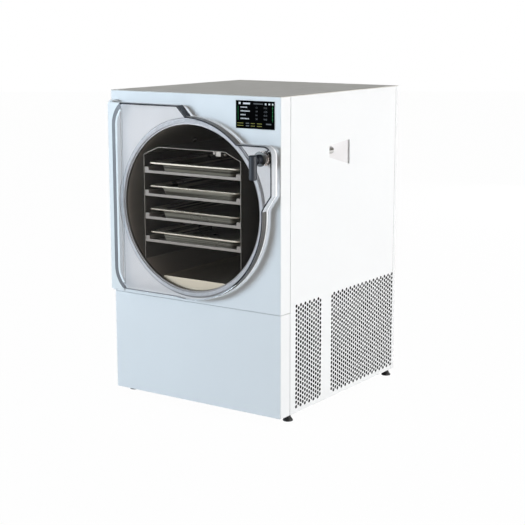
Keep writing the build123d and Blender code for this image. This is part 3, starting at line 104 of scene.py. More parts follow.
class Graph:
    """One procedural material and the nodes that it is made of."""

    def __init__(self, name: str) -> None:
        """Starts a material with its Principled shader.

        Args:
            name: Name of the material.
        """
        self.material = bpy.data.materials.new(name)
        self.material.use_nodes = True
        self.tree = self.material.node_tree
        self.shader = self.tree.nodes["Principled BSDF"]
        self.output = self.tree.nodes["Material Output"]
        self.place = self.add("ShaderNodeTexCoord").outputs["Object"]

    def add(self, kind: str, **settings: object) -> bpy.types.Node:
        """Adds a node.

        Args:
            kind: Type name of the node.
            **settings: Attributes to set on it.

        Returns:
            The new node.
        """
        node = self.tree.nodes.new(kind)
        for name, value in settings.items():
            setattr(node, name, value)
        return node

    def link(self, source: Socket, target: Socket) -> None:
        """Links an output socket to an input socket."""
        self.tree.links.new(source, target)

    def constants(self, **values: object) -> None:
        """Sets inputs of the shader, named with _ for spaces."""
        for name, value in values.items():
            self.shader.inputs[name.replace("_", " ")].default_value = value

    def noise(self, scale: float, detail: float = 3.0, rough: float = 0.5,
              stretch: Point = (1.0, 1.0, 1.0)) -> Socket:
        """Noise in the object's own coordinates.

        Args:
            scale: Features per metre.
            detail: Octaves.
            rough: Weight of the finer octaves.
            stretch: Scale along each axis; a small value draws the noise out along it.

        Returns:
            The noise value, from 0 to 1.
        """
        mapping = self.add("ShaderNodeMapping")
        mapping.inputs["Scale"].default_value = stretch
        self.link(self.place, mapping.inputs["Vector"])
        noise = self.add("ShaderNodeTexNoise")
        noise.inputs["Scale"].default_value = scale
        noise.inputs["Detail"].default_value = detail
        noise.inputs["Roughness"].default_value = rough
        self.link(mapping.outputs["Vector"], noise.inputs["Vector"])
        return noise.outputs["Fac"]

    def spread(self, value: Socket, low: float, high: float,
               start: float = 0.3, stop: float = 0.7) -> Socket:
        """Value from start to stop mapped to low to high.

        Args:
            value: Socket to map.
            low: Result at start.
            high: Result at stop.
            start: Lower end of the value.
            stop: Upper end of the value.

        Returns:
            The mapped value.
        """
        node = self.add("ShaderNodeMapRange")
        self.link(value, node.inputs["Value"])
        limits = {"From Min": start, "From Max": stop, "To Min": low, "To Max": high}
        for name, number in limits.items():
            node.inputs[name].default_value = number
        return node.outputs["Result"]

    def blend(self, factor: Socket, first: Colour, second: Colour) -> Socket:
        """Colour between two colours.

        Args:
            factor: 0 for the first colour, 1 for the second.
            first: First colour.
            second: Second colour.

        Returns:
            The mixed colour.
        """
        mix = self.add("ShaderNodeMix", data_type="RGBA")
        self.link(factor, mix.inputs["Factor"])
        mix.inputs["A"].default_value = (*first, 1.0)
        mix.inputs["B"].default_value = (*second, 1.0)
        return mix.outputs["Result"]

    def tint(self, factor: Socket, first: Colour, second: Colour) -> None:
        """Paints the shader between two colours."""
        self.link(self.blend(factor, first, second), self.shader.inputs["Base Color"])

    def polish(self, value: Socket, low: float, high: float,
               start: float = 0.3, stop: float = 0.7) -> None:
        """Lets the roughness vary from low to high as the value goes from start to stop."""
        self.link(self.spread(value, low, high, start, stop), self.shader.inputs["Roughness"])

    def relief(self, height: Socket, strength: float, depth: float) -> None:
        """Gives the shader a bumped surface.

        Args:
            height: Height of the relief.
            strength: Share of the relief that shows.
            depth: Depth of the relief in metres.
        """
        bump = self.add("ShaderNodeBump")
        bump.inputs["Strength"].default_value = strength
        bump.inputs["Distance"].default_value = depth
        self.link(height, bump.inputs["Height"])
        self.link(bump.outputs["Normal"], self.shader.inputs["Normal"])

    def compute(self, operation: str, first: Socket, second: Socket | float) -> Socket:
        """Works out one number from two.

        Args:
            operation: Name of the operation.
            first: First number.
            second: Second number, as a socket or written out.

        Returns:
            The result.
        """
        node = self.add("ShaderNodeMath", operation=operation)
        self.link(first, node.inputs[0])
        if isinstance(second, float):
            node.inputs[1].default_value = second
        else:
            self.link(second, node.inputs[1])
        return node.outputs["Value"]

    def show(self, factor: Socket, first: Socket, second: Socket) -> None:
        """Shows a mix of two shaders: the first at a factor of 0, the second at 1."""
        mix = self.add("ShaderNodeMixShader")
        self.link(factor, mix.inputs["Fac"])
        self.link(first, mix.inputs[1])
        self.link(second, mix.inputs[2])
        self.link(mix.outputs["Shader"], self.output.inputs["Surface"])

    def let_lamps_through(self, colour: Colour) -> None:
        """Lets light reach what is behind a clear piece: it bends only what is looked at.

        Args:
            colour: Tint of the light that gets through.
        """
        path = self.add("ShaderNodeLightPath").outputs
        clear = self.add("ShaderNodeBsdfTransparent")
        clear.inputs["Color"].default_value = (*colour, 1.0)
        looked_at = self.compute("MAXIMUM", path["Is Camera Ray"], path["Is Transmission Ray"])
        self.show(looked_at, clear.outputs["BSDF"], self.shader.outputs["BSDF"])

    def soften_shadow(self, share: float) -> None:
        """Lets a share of the lamps' light past a thin piece, so that its shadow is softer."""
        path = self.add("ShaderNodeLightPath").outputs
        clear = self.add("ShaderNodeBsdfTransparent")
        past = self.compute("MULTIPLY", path["Is Shadow Ray"], share)
        self.show(past, self.shader.outputs["BSDF"], clear.outputs["BSDF"])


@dataclass(frozen=True)
class Finish:
    """Base of every finish: a name and a way to make the material once."""

    name: str

    def paint(self, graph: Graph) -> None:
        """Sets up the material's nodes."""
        raise NotImplementedError

    def material(self) -> bpy.types.Material:
        """Returns the finish's material, made at its first use."""
        found = bpy.data.materials.get(self.name)
        if found is None:
            graph = Graph(self.name)
            self.paint(graph)
            found = graph.material
        return found


@dataclass(frozen=True)
class PowderCoat(Finish):
    """Sprayed and baked paint on sheet steel, with a fine orange-peel skin."""

    colour: Colour = (0.80, 0.80, 0.80)
    roughness: float = 0.42
    lets_through: float = 0.0

    def paint(self, graph: Graph) -> None:
        """Sets up slow colour drift, fine relief and uneven gloss."""
        drift = graph.spread(graph.noise(2.5, 2.0), 0.0, 1.0)
        graph.tint(drift, self.colour, dimmed(self.colour, 0.975))
        graph.polish(graph.noise(40.0, 3.0), self.roughness - 0.04, self.roughness + 0.05)
        graph.relief(graph.noise(650.0, 2.0), 0.10, 0.0004)
        graph.constants(Specular_IOR_Level=0.5)
        if self.lets_through:
            graph.soften_shadow(self.lets_through)


@dataclass(frozen=True)
class ClearAcrylic(Finish):
    """Clear sheet with faint wipe marks, or one of its worked edges."""

    colour: Colour = (0.98, 0.955, 0.945)
    clarity: float = 1.0
    roughness: float = 0.0
    mirror: float = 0.003
    lets_through: Colour = (0.99, 0.955, 0.94)

    def paint(self, graph: Graph) -> None:
        """Sets up a clear shader whose polish varies a little."""
        graph.constants(Transmission_Weight=self.clarity, IOR=1.49,
                        Specular_Tint=(self.mirror, self.mirror, self.mirror * 1.1, 1.0))
        graph.polish(graph.noise(18.0, 4.0), self.roughness, self.roughness + 0.02, 0.45, 0.75)
        drift = graph.spread(graph.noise(3.0, 1.0), 0.0, 1.0)
        graph.tint(drift, self.colour, dimmed(self.colour, 0.99))
        graph.let_lamps_through(self.lets_through)


@dataclass(frozen=True)
class WorkedEdge(Finish):
    """Machined edge of the clear plate, or the ribbed sleeve: lines along it and a band at the
    back. On the plate's edges the pale back band is a painted highlight and the round edge's dark
    lines are painted reflection; on the sleeve the pale lines are painted highlights and the
    near-black grooves and back band are painted shade.
    """

    line: Colour = (0.15, 0.142, 0.13)
    groove: Colour = (0.025, 0.025, 0.027)
    arris: Colour = (0.95, 0.96, 0.97)
    lines: float = 520.0
    arris_from: float = 0.72
    arris_fade: float = 0.06
    front: float = -236.2 * MM     # depths between which the arris' place is a share
    back: float = -216.9 * MM

    def paint(self, graph: Graph) -> None:
        """Sets up fine lines that run round the edge, and the back band of painted highlight or
        shade.
        """
        axes = graph.add("ShaderNodeSeparateXYZ")
        graph.link(graph.place, axes.inputs["Vector"])
        depth = graph.spread(axes.outputs["Y"], 0.0, 1.0, self.front, self.back)
        noise = graph.noise(self.lines, 2.0, 0.6, (0.01, 1.0, 0.01))
        lines = graph.spread(noise, 0.0, 1.0, 0.42, 0.58)
        pale = graph.spread(depth, 0.0, 1.0, self.arris_from, self.arris_from + self.arris_fade)
        mix = graph.add("ShaderNodeMix", data_type="RGBA")
        graph.link(pale, mix.inputs["Factor"])
        graph.link(graph.blend(lines, self.line, self.groove), mix.inputs["A"])
        mix.inputs["B"].default_value = (*self.arris, 1.0)
        graph.link(mix.outputs["Result"], graph.shader.inputs["Base Color"])
        graph.constants(Roughness=0.35, Transmission_Weight=0.1, IOR=1.49)
        graph.let_lamps_through((0.08, 0.07, 0.06))


@dataclass(frozen=True)
class BrushedSteel(Finish):
    """Stainless sheet with the grain of its rolling or brushing."""

    colour: Colour = (0.60, 0.58, 0.54)
    roughness: float = 0.30
    run: Run = Run.ACROSS
    grain: float = 900.0
    relief: float = 0.12
    metallic: float = 1.0

    def paint(self, graph: Graph) -> None:
        """Sets up the drawn-out grain in colour, gloss and relief."""
        grain = graph.noise(self.grain, 3.0, 0.6, self.run.value)
        cloud = graph.noise(14.0, 4.0)
        shade = graph.spread(grain, 0.0, 1.0)
        graph.tint(shade, self.colour, dimmed(self.colour, 0.86))
        graph.polish(cloud, self.roughness - 0.07, self.roughness + 0.10)
        graph.relief(grain, self.relief, 0.0002)
        graph.constants(Metallic=self.metallic, Anisotropic=0.4)


@dataclass(frozen=True)
class DrawnSteel(BrushedSteel):
    """Brushed sheet drawn into a tray, with draw lines round its sides."""

    dark: Colour = (0.17, 0.16, 0.13)
    lines: float = 300.0

    def paint(self, graph: Graph) -> None:
        """Adds level lines to the grain."""
        super().paint(graph)
        noise = graph.noise(self.lines, 1.0, 0.5, (0.01, 0.01, 1.0))
        lines = graph.spread(noise, 0.0, 1.0, 0.42, 0.58)
        graph.tint(lines, self.colour, self.dark)


@dataclass(frozen=True)
class MachinedSteel(Finish):
    """Turned and polished metal with faint tool marks."""

    colour: Colour = (0.74, 0.73, 0.71)
    roughness: float = 0.16

    def paint(self, graph: Graph) -> None:
        """Sets up fine tool marks and fingerprints."""
        marks = graph.noise(2600.0, 2.0, 0.5, (1.0, 0.08, 1.0))
        smudge = graph.noise(60.0, 4.0)
        graph.tint(graph.spread(smudge, 0.0, 1.0), self.colour, dimmed(self.colour, 0.9))
        graph.polish(smudge, self.roughness, self.roughness + 0.12)
        graph.relief(marks, 0.08, 0.0001)
        graph.constants(Metallic=1.0)


@dataclass(frozen=True)
class Rubber(Finish):
    """Moulded elastomer or felt, matt."""

    colour: Colour = (0.02, 0.02, 0.022)
    roughness: float = 0.6

    def paint(self, graph: Graph) -> None:
        """Sets up a fine matt skin with dusty patches."""
        dust = graph.spread(graph.noise(90.0, 5.0, 0.65), 0.0, 1.0, 0.45, 0.8)
        paler = tuple(min(1.0, c * 1.25 + 0.012) for c in self.colour)
        graph.tint(dust, self.colour, paler)
        graph.polish(graph.noise(300.0), self.roughness - 0.08, self.roughness + 0.08)
        graph.relief(graph.noise(1500.0, 2.0), 0.12, 0.0002)


@dataclass(frozen=True)
class MouldedPlastic(Finish):
    """Injection-moulded plastic with a spark-eroded texture."""

    colour: Colour = (0.02, 0.024, 0.034)
    roughness: float = 0.42
    texture: float = 1800.0
    lets_through: float = 0.0

    def paint(self, graph: Graph) -> None:
        """Sets up the mould texture and slightly worn high spots."""
        wear = graph.spread(graph.noise(25.0, 3.0), 0.0, 1.0, 0.4, 0.8)
        graph.tint(wear, self.colour, tuple(min(1.0, c * 1.1 + 0.004) for c in self.colour))
        graph.polish(graph.noise(110.0), self.roughness - 0.06, self.roughness + 0.06)
        graph.relief(graph.noise(self.texture, 2.0), 0.15, 0.00015)
        if self.lets_through:
            graph.soften_shadow(self.lets_through)


@dataclass(frozen=True)
class Metal(Finish):
    """Plated, drawn or painted metal of the inner works."""

    colour: Colour = (0.6, 0.6, 0.6)
    second: Colour = (0.5, 0.5, 0.5)
    roughness: float = 0.4
    metallic: float = 1.0
    flake: float = 70.0

    def paint(self, graph: Graph) -> None:
        """Sets up plating flakes or stains between the two colours."""
        stains = graph.spread(graph.noise(self.flake, 4.0, 0.6), 0.0, 1.0)
        graph.tint(stains, self.colour, self.second)
        graph.polish(graph.noise(200.0), self.roughness - 0.08, self.roughness + 0.12)
        graph.relief(graph.noise(900.0), 0.08, 0.0002)
        graph.constants(Metallic=self.metallic)


@dataclass(frozen=True)
class Foam(Finish):
    """Cut closed-cell foam."""

    colour: Colour = (0.16, 0.15, 0.12)

    def paint(self, graph: Graph) -> None:
        """Sets up open cells on the cut skin."""
        cells = graph.add("ShaderNodeTexVoronoi")
        cells.inputs["Scale"].default_value = 450.0
        graph.link(graph.place, cells.inputs["Vector"])
        graph.tint(cells.outputs["Distance"], self.colour, dimmed(self.colour, 0.7))
        graph.relief(cells.outputs["Distance"], 0.5, 0.0006)
        graph.constants(Roughness=0.85)


@dataclass(frozen=True)
class CircuitBoard(Finish):
    """Solder-masked board with a faint grid of tracks."""

    def paint(self, graph: Graph) -> None:
        """Sets up tracks as a brick pattern under the mask."""
        tracks = graph.add("ShaderNodeTexBrick")
        tracks.inputs["Scale"].default_value = 120.0
        tracks.inputs["Color1"].default_value = (0.02, 0.16, 0.07, 1.0)
        tracks.inputs["Color2"].default_value = (0.015, 0.12, 0.05, 1.0)
        tracks.inputs["Mortar"].default_value = (0.05, 0.30, 0.12, 1.0)
        graph.link(graph.place, tracks.inputs["Vector"])
        graph.link(tracks.outputs["Color"], graph.shader.inputs["Base Color"])
        graph.relief(tracks.outputs["Fac"], 0.2, 0.0001)
        graph.constants(Roughness=0.3)


@dataclass(frozen=True)
class Display(Finish):
    """Front glass of the screen or one colour of what is lit on it."""

    colour: Colour = (0.0012, 0.0015, 0.0018)
    light: float = 0.0

    def paint(self, graph: Graph) -> None:
        """Sets up a dark gloss face, or a lit one with a fine pixel grain."""
        grain = graph.spread(graph.noise(2500.0, 1.0), 0.0, 1.0)
        graph.tint(grain, self.colour, dimmed(self.colour, 0.9))
        graph.polish(graph.noise(30.0, 3.0), 0.04, 0.08)
        graph.constants(Specular_IOR_Level=0.01)
        if self.light:
            graph.constants(Emission_Color=(*self.colour, 1.0), Emission_Strength=self.light)


WHITE = PowderCoat("white_powder_coat", (0.79, 0.80, 0.81))
# Painted shade: the top's coat is darker and warmer than the other panels', standing in for less
# light falling on top.
TOP_PAINTED_SHADE = PowderCoat("top_coat_painted_shade", (0.64, 0.63, 0.585))
LEAF = PowderCoat("leaf_powder_coat", (0.81, 0.82, 0.82), lets_through=0.9)
CLEAR = ClearAcrylic("clear_acrylic")
# Worked edges: painted highlights on the pale back bands and lines, painted reflection on the round
# edge's dark lines, painted shade in the sleeve's grooves.
SAWN = WorkedEdge("acrylic_edge", (0.62, 0.64, 0.67), (0.44, 0.46, 0.49), (0.92, 0.93, 0.95))
RIBBED = WorkedEdge("ribbed_sleeve", (0.85, 0.84, 0.80), (0.02, 0.018, 0.016),
                    (0.03, 0.028, 0.025), 420.0, 0.9)
TURNED = WorkedEdge("acrylic_round_edge")
# Opaque grey on the plate's hinge edge and lower rim: painted shade and dark reflection of the
# acrylic's edge.
EDGE_SHADE_AND_REFLECTION = MouldedPlastic("acrylic_edge_painted_shade_reflection", (0.20, 0.205, 0.22), 0.35, lets_through=0.95)
HINGE_SHADE = MouldedPlastic("leaf_return_shade", (0.15, 0.148, 0.16), 0.45, lets_through=0.95)
# Painted highlight: a pale band on the plate's front beside the hinge leaf.
HINGE_HIGHLIGHT = MouldedPlastic("hinge_painted_highlight", (0.84, 0.87, 0.88), 0.45, lets_through=0.95)
RIM_PAINTED_REFLECTION = ClearAcrylic("acrylic_rim_painted_reflection", (0.012, 0.014, 0.020), 0.85, 0.02, 0.1, (0.55, 0.55, 0.55))
# Drum, rack and shelves are darker and warmer than bare stainless: painted shade and reflection of
# the closed chamber.
DRUM = BrushedSteel("drum_stainless", (0.40, 0.38, 0.335), 0.50, Run.DEEP, 500.0, 0.10, 0.35)
RACK = BrushedSteel("rack_stainless", (0.15, 0.143, 0.128), 0.36, Run.DEEP, 900.0, 0.12, 0.8)
SHELF = BrushedSteel("shelf_stainless", (0.26, 0.247, 0.225), 0.42, Run.ACROSS, 900.0, 0.12, 0.35)
TRAY = DrawnSteel("tray_stainless", (0.56, 0.54, 0.45), 0.30, Run.ACROSS, 900.0, 0.10, 0.6)
FLANGE = BrushedSteel("flange_stainless", (0.35, 0.36, 0.375), 0.36, Run.DEEP, 1200.0, 0.06, 0.45)
PAN = BrushedSteel("drip_pan_stainless", (0.60, 0.56, 0.45), 0.45, Run.DEEP, 400.0, 0.08, 0.6)
STEEL = MachinedSteel("machined_steel")
GRIP = MouldedPlastic("grip_black_plastic", (0.010, 0.014, 0.022), 0.50)
BLACK = MouldedPlastic("black_moulding", (0.015, 0.015, 0.016), 0.45)
WHITE_PLASTIC = MouldedPlastic("white_moulding", (0.72, 0.73, 0.74), 0.35)
# Painted shade: the pocket moulding is greyer than the side panel, standing in for shade in its
# recess.
POCKET_PAINTED_SHADE = MouldedPlastic("pocket_moulding_painted_shade", (0.68, 0.67, 0.68), 0.50)
FOOT = Rubber("foot_rubber", (0.012, 0.012, 0.012), 0.55)
SEAL = Rubber("seal_silicone", (0.58, 0.61, 0.65), 0.50)
# Painted shade: a black sheet behind the holes, so that they look dark.
BLACK_SHADE_SHEET = Rubber("filter_mat_black", (0.008, 0.008, 0.008), 0.85)
# Painted shade: near-black walls of the punched holes and of the rear line.
HOLE_PAINTED_SHADE = Rubber("hole_wall_painted_shade", (0.008, 0.008, 0.009), 0.8)
# Painted shade on the inward-facing bore of the flange.
BORE_PAINTED_SHADE = BrushedSteel("flange_bore_painted_shade", (0.12, 0.112, 0.097), 0.45, Run.DEEP, 1200.0, 0.06, 0.4)
PLUG = MachinedSteel("plug_steel", (0.20, 0.19, 0.17), 0.36)
# Painted reflection: dark navy on the plate's sloping shoulder edge.
EDGE_PAINTED_REFLECTION = MouldedPlastic("acrylic_edge_painted_reflection", (0.022, 0.026, 0.038), 0.25)
# Zinc darkened to near black as painted shade, so that the base and cradle look dark through the
# holes; its flakes are plating.
ZINC_PAINTED_SHADE = Metal("zinc_plate_painted_shade", (0.10, 0.10, 0.105), (0.07, 0.07, 0.075), 0.50)
COPPER = Metal("drawn_copper", (0.72, 0.36, 0.22), (0.50, 0.24, 0.15), 0.30)
ALUMINIUM = Metal("fin_aluminium", (0.55, 0.56, 0.57), (0.42, 0.43, 0.44), 0.38, 1.0, 30.0)
MOTOR = Metal("works_black_paint", (0.015, 0.015, 0.016), (0.025, 0.025, 0.026), 0.45, 0.0)
FOAM = Foam("jacket_foam")
BOARD = CircuitBoard("circuit_board")
GLASS = Display("display_glass")
LIT_WHITE = Display("lit_white", (0.62, 0.64, 0.66), 0.25)
LIT_GREY = Display("lit_grey", (0.16, 0.165, 0.175), 0.08)
LIT_GREEN = Display("lit_green", (0.03, 0.20, 0.07), 0.2)
LIT_YELLOW = Display("lit_yellow", (0.28, 0.27, 0.08), 0.2)


# ---- modelling bench -----------------------------------------------------
class Bench:
    """Modelling steps on one mesh at a time."""

    SHARP = 40.0            # degrees: edges sharper than this are rounded

    @classmethod
    def clear(cls) -> None:
        """Leaves nothing selected."""
        if bpy.context.mode != "OBJECT":
            bpy.ops.object.mode_set(mode="OBJECT")
        bpy.ops.object.select_all(action="DESELECT")

    @classmethod
    def take(cls, *objects: Item) -> None:
        """Selects only these objects and makes the first one active."""
        cls.clear()
        for item in objects:
            item.select_set(True)
        bpy.context.view_layer.objects.active = objects[0]

    @classmethod
    def seat(cls, item: Item, name: str) -> Item:
        """Names a piece and puts its place into its mesh."""
        cls.take(item)
        bpy.ops.object.transform_apply(location=True, rotation=True, scale=True)
        item.name = item.data.name = name
        return item

    @classmethod
    def block(cls, name: str, low: Sequence[float], high: Sequence[float],
              bevel: float = 0.0) -> Item:
        """Adds a block between two corners with rounded edges.

        Args:
            name: Name of the piece.
            low: Lowest corner.
            high: Highest corner.
            bevel: Width of the rounded edges.

        Returns:
            The new piece.
        """
        low, high = Vector(low), Vector(high)
        cls.clear()
        bpy.ops.mesh.primitive_cube_add(size=1.0, location=(low + high) / 2)
        item = bpy.context.active_object
        item.scale = high - low
        cls.seat(item, name)
        if bevel:
            cls.round_off(item, bevel)
        return item

    @classmethod
    def pick(cls, item: Item, test: Callable[[Vector, Vector], bool]) -> None:
        """Opens a piece in edit mode with some of its faces selected.

        Args:
            item: Piece to open.
            test: Says from a face's centre and normal whether it is selected.
        """
        cls.take(item)
        bpy.ops.object.mode_set(mode="EDIT")
        bpy.ops.mesh.select_mode(type="FACE")
        bpy.ops.mesh.select_all(action="DESELECT")
        bpy.ops.object.mode_set(mode="OBJECT")
        for face in item.data.polygons:
            face.select = test(face.center, face.normal)
        bpy.ops.object.mode_set(mode="EDIT")

    @classmethod
    def open(cls, item: Item) -> None:
        """Opens a piece in edit mode with all of it selected."""
        cls.take(item)
        bpy.ops.object.mode_set(mode="EDIT")
        bpy.ops.mesh.select_all(action="SELECT")

    @staticmethod
    def close() -> None:
        """Leaves edit mode."""
        bpy.ops.object.mode_set(mode="OBJECT")

    @staticmethod
    def slot_of(item: Item, finish: Finish) -> int:
        """Returns the number of a piece's slot that holds a finish."""
        return item.data.materials.find(finish.name)

    @classmethod
    def coat(cls, item: Item, finish: Finish,
             test: Callable[[Vector, Vector], bool]) -> None:
        """Gives some faces of a piece one of the finishes that it already holds.

        Args:
            item: Piece to work on.
            finish: Finish of the faces.
            test: Says from a face's centre and normal whether it is coated.
        """
        cls.pick(item, test)
        item.active_material_index = cls.slot_of(item, finish)
        bpy.ops.object.material_slot_assign()
        cls.close()

    @classmethod
    def round_off(cls, item: Item, width: float, segments: int = 2) -> Item:
        """Rounds the sharp edges of a piece and evens out the shading of its flats.

        Args:
            item: Piece to work on.
            width: Width of the rounding.
            segments: Flats across it.

        Returns:
            The piece.
        """
        cls.take(item)
        modifier = item.modifiers.new("round_off", "BEVEL")
        modifier.width = width
        modifier.segments = segments
        modifier.limit_method = "ANGLE"
        modifier.angle_limit = math.radians(cls.SHARP)
        modifier.harden_normals = False
        bpy.ops.object.modifier_apply(modifier=modifier.name)
        cls.smooth(item)
        modifier = item.modifiers.new("even_flats", "WEIGHTED_NORMAL")
        modifier.keep_sharp = True
        modifier.weight = 100
        bpy.ops.object.modifier_apply(modifier=modifier.name)
        return item

    @classmethod
    def smooth(cls, item: Item, angle: float = 32.0) -> Item:
        """Shades a piece smooth except across edges sharper than an angle."""
        cls.take(item)
        bpy.ops.object.shade_smooth_by_angle(angle=math.radians(angle))
        return item

    @classmethod
    def join(cls, name: str, items: Sequence[Item]) -> Item:
        """Joins pieces into one mesh and names it."""
        cls.take(*items)
        if len(items) > 1:
            bpy.ops.object.join()
        joined = bpy.context.view_layer.objects.active
        joined.name = joined.data.name = name
        return joined

    @classmethod
    def merged_copy(cls, node: str, simplify: bool) -> Item:
        """Copies a CAD node as a welded mesh.

        Args:
            node: CAD node to copy.
            simplify: Joins the triangles of each flat face into one.

        Returns:
            The copy.
        """
        source = frame["nodes"][node]
        item = source.copy()
        item.data = source.data.copy()
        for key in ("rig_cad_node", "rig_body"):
            del item[key]
        bpy.context.scene.collection.objects.link(item)
        item.parent = None
        item.matrix_world = Matrix.Identity(4)
        item.name = item.data.name = f"{node}_shell"
        cls.open(item)
        bpy.ops.mesh.remove_doubles(threshold=WELD)
        bpy.ops.mesh.customdata_custom_splitnormals_clear()
        if simplify:
            bpy.ops.mesh.dissolve_limited(angle_limit=math.radians(0.5))
        cls.close()
        return item


SLOTS = {row["node"]: row["material_slot"] for row in frame["record"]["subparts"]}
BODIES = {node: body for body, nodes in frame["record"]["behaviour"]["bodies"].items()
          for node in nodes}


def dress(item: Item, finish: Finish) -> Item:
    """Gives a piece one finish all over."""
    item.data.materials.clear()
    item.data.materials.append(finish.material())
    return item


def mount(item: Item, body: Body, slot: str, finish: Finish,
          *replaced: str) -> Item:
    """Finishes a new piece and fixes it to a body.

    Args:
        item: The new piece.
        body: Body that it rides on.
        slot: Material slot of the record; not used.
        finish: Finish to dress it in.
        *replaced: CAD nodes that it stands for.

    Returns:
        The piece.
    """
    dress(item, finish)
    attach(item, body.value)
    if replaced:
        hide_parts(*replaced)
    log.info("piece %s on %s: %d faces", item.name, body.value, len(item.data.polygons))
    return item


def dress_node(node: str, finish: Finish) -> None:
    """Gives a CAD node that stays a better finish."""
    dress(frame["nodes"][node], finish)
    log.info("node %s in %s", node, finish.name)


def soften(node: str, finish: Finish, bevel: float = 0.0, segments: int = 2,
           smooth: float = 32.0, simplify: bool = True) -> Item:
    """Stands a welded, rounded copy in for a CAD node.

    Args:
        node: CAD node to copy.
        finish: Finish of the copy.
        bevel: Width of the rounded edges.
        segments: Flats across the rounding.
        smooth: Angle in degrees up to which it is shaded smooth.
        simplify: Joins the triangles of each flat face into one.

    Returns:
        The copy.
    """
    item = Bench.merged_copy(node, simplify)
    if bevel:
        Bench.round_off(item, bevel, segments)
    Bench.smooth(item, smooth)
    return mount(item, Body(BODIES[node]), SLOTS[node], finish, node)


# ---- sub-assemblies ------------------------------------------------------
@dataclass
class Cabinet:
    """Sheet-metal body, its feet and the hose pocket."""

    edge: float = 0.25 * MM
    sheet: float = 1.5 * MM
    holes_top: float = 225.0 * MM
    hole_margin: float = 16.0 * MM
    hole_growth: float = 1.28
    widest_hole: float = 5.0 * MM
    rear_seam: float = 10.0 * MM
    seam_depth: float = 0.7 * MM
    seam_reach: float = 2.5 * MM
    deck: float = 196.0 * MM
    mat_behind: float = 3.6 * MM
    mat_thick: float = 3.0 * MM
    mat_top: float = 222.0 * MM
    panels: tuple[str, ...] = ("front_upper_panel", "front_lower_panel", "side_panel_left",
                               "rear_panel")

    def build(self) -> None:
        """Dresses the panels, the base, the feet and the pocket."""
        for panel in self.panels:
            soften(panel, WHITE, self.edge)
        soften("top_panel", TOP_PAINTED_SHADE, self.edge)
        self.perforated_side()
        for node in ("base_pan", "chamber_cradle", "foot_lock_nuts", "panel_screws"):
            dress_node(node, ZINC_PAINTED_SHADE)
        soften("hose_pocket", POCKET_PAINTED_SHADE, self.edge)
        soften("vacuum_port", STEEL, self.edge)
        soften("levelling_feet", FOOT, 0.3 * MM)
        self.filter_mat()

    def perforated_side(self) -> Item:
        """Gives the walls of the punched holes and of the rear line a near-black finish of painted
        shade.

        Returns:
            The perforated panel.
        """
        low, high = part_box("side_panel_right")
        item = soften("side_panel_right", WHITE, simplify=False)
        item.data.materials.append(HOLE_PAINTED_SHADE.material())

        def is_dark(place: Vector, normal: Vector) -> bool:
            """Says whether a face is the wall of a hole or of the rear line."""
            in_hole = (abs(normal.x) < 0.2 and high.x - self.sheet < place.x < high.x
                       and place.z < low.z + self.holes_top
                       and low.y + self.hole_margin < place.y < high.y - self.hole_margin / 4)
            in_seam = (high.x - self.seam_depth < place.x < high.x - 0.05 * MM
                       and abs(high.y - self.rear_seam - place.y) < self.seam_reach)
            return in_hole or in_seam

        Bench.coat(item, HOLE_PAINTED_SHADE, is_dark)
        self.open_holes(item)
        return item

    def open_holes(self, item: Item) -> None:
        """Widens each punched hole from its bore to how wide it looks in the photograph.

        Args:
            item: The perforated panel, with its hole walls in painted shade.
        """
        mesh, home = item.data, {}
        dark = Bench.slot_of(item, HOLE_PAINTED_SHADE)

        def root(corner: int) -> int:
            """Returns the corner that stands for all corners of the same hole."""
            while home[corner] != corner:
                corner = home[corner]
            return corner

        for face in mesh.polygons:
            if face.material_index == dark:
                for corner in face.vertices:
                    home.setdefault(corner, corner)
                first = root(face.vertices[0])
                for corner in face.vertices:
                    home[root(corner)] = first
        holes: dict[int, list[bpy.types.MeshVertex]] = {}
        for corner in home:
            holes.setdefault(root(corner), []).append(mesh.vertices[corner])
        for ring in holes.values():
            middle = sum((vertex.co for vertex in ring), Vector()) / len(ring)
            if max((vertex.co - middle).length for vertex in ring) > self.widest_hole:
                continue    # a panel edge or the pocket's cut-out
            for vertex in ring:
                for axis in (1, 2):
                    reach = vertex.co[axis] - middle[axis]
                    vertex.co[axis] = middle[axis] + reach * self.hole_growth
        log.info("%d rings of dark walls found", len(holes))

    def filter_mat(self) -> Item:
        """Hangs a black sheet behind the holes, below and above the chamber deck, as painted shade.

        Returns:
            The black sheet.
        """
        side_low, side_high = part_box("side_panel_right")
        deck = side_low.z + self.deck
        back = side_high.x - self.mat_behind
        parts = []
        for number, (low, high) in enumerate(((side_low.z + 4.0 * MM, deck - 2.0 * MM),
                                              (deck + 3.0 * MM, side_low.z + self.mat_top))):
            parts.append(Bench.block(f"filter_{number}",
                                     (back - self.mat_thick, side_low.y + 16.0 * MM, low),
                                     (back, side_high.y - 10.0 * MM, high), 0.4 * MM))
        return mount(Bench.join("filter_mat", parts), Body.CABINET, "foam", BLACK_SHADE_SHEET)


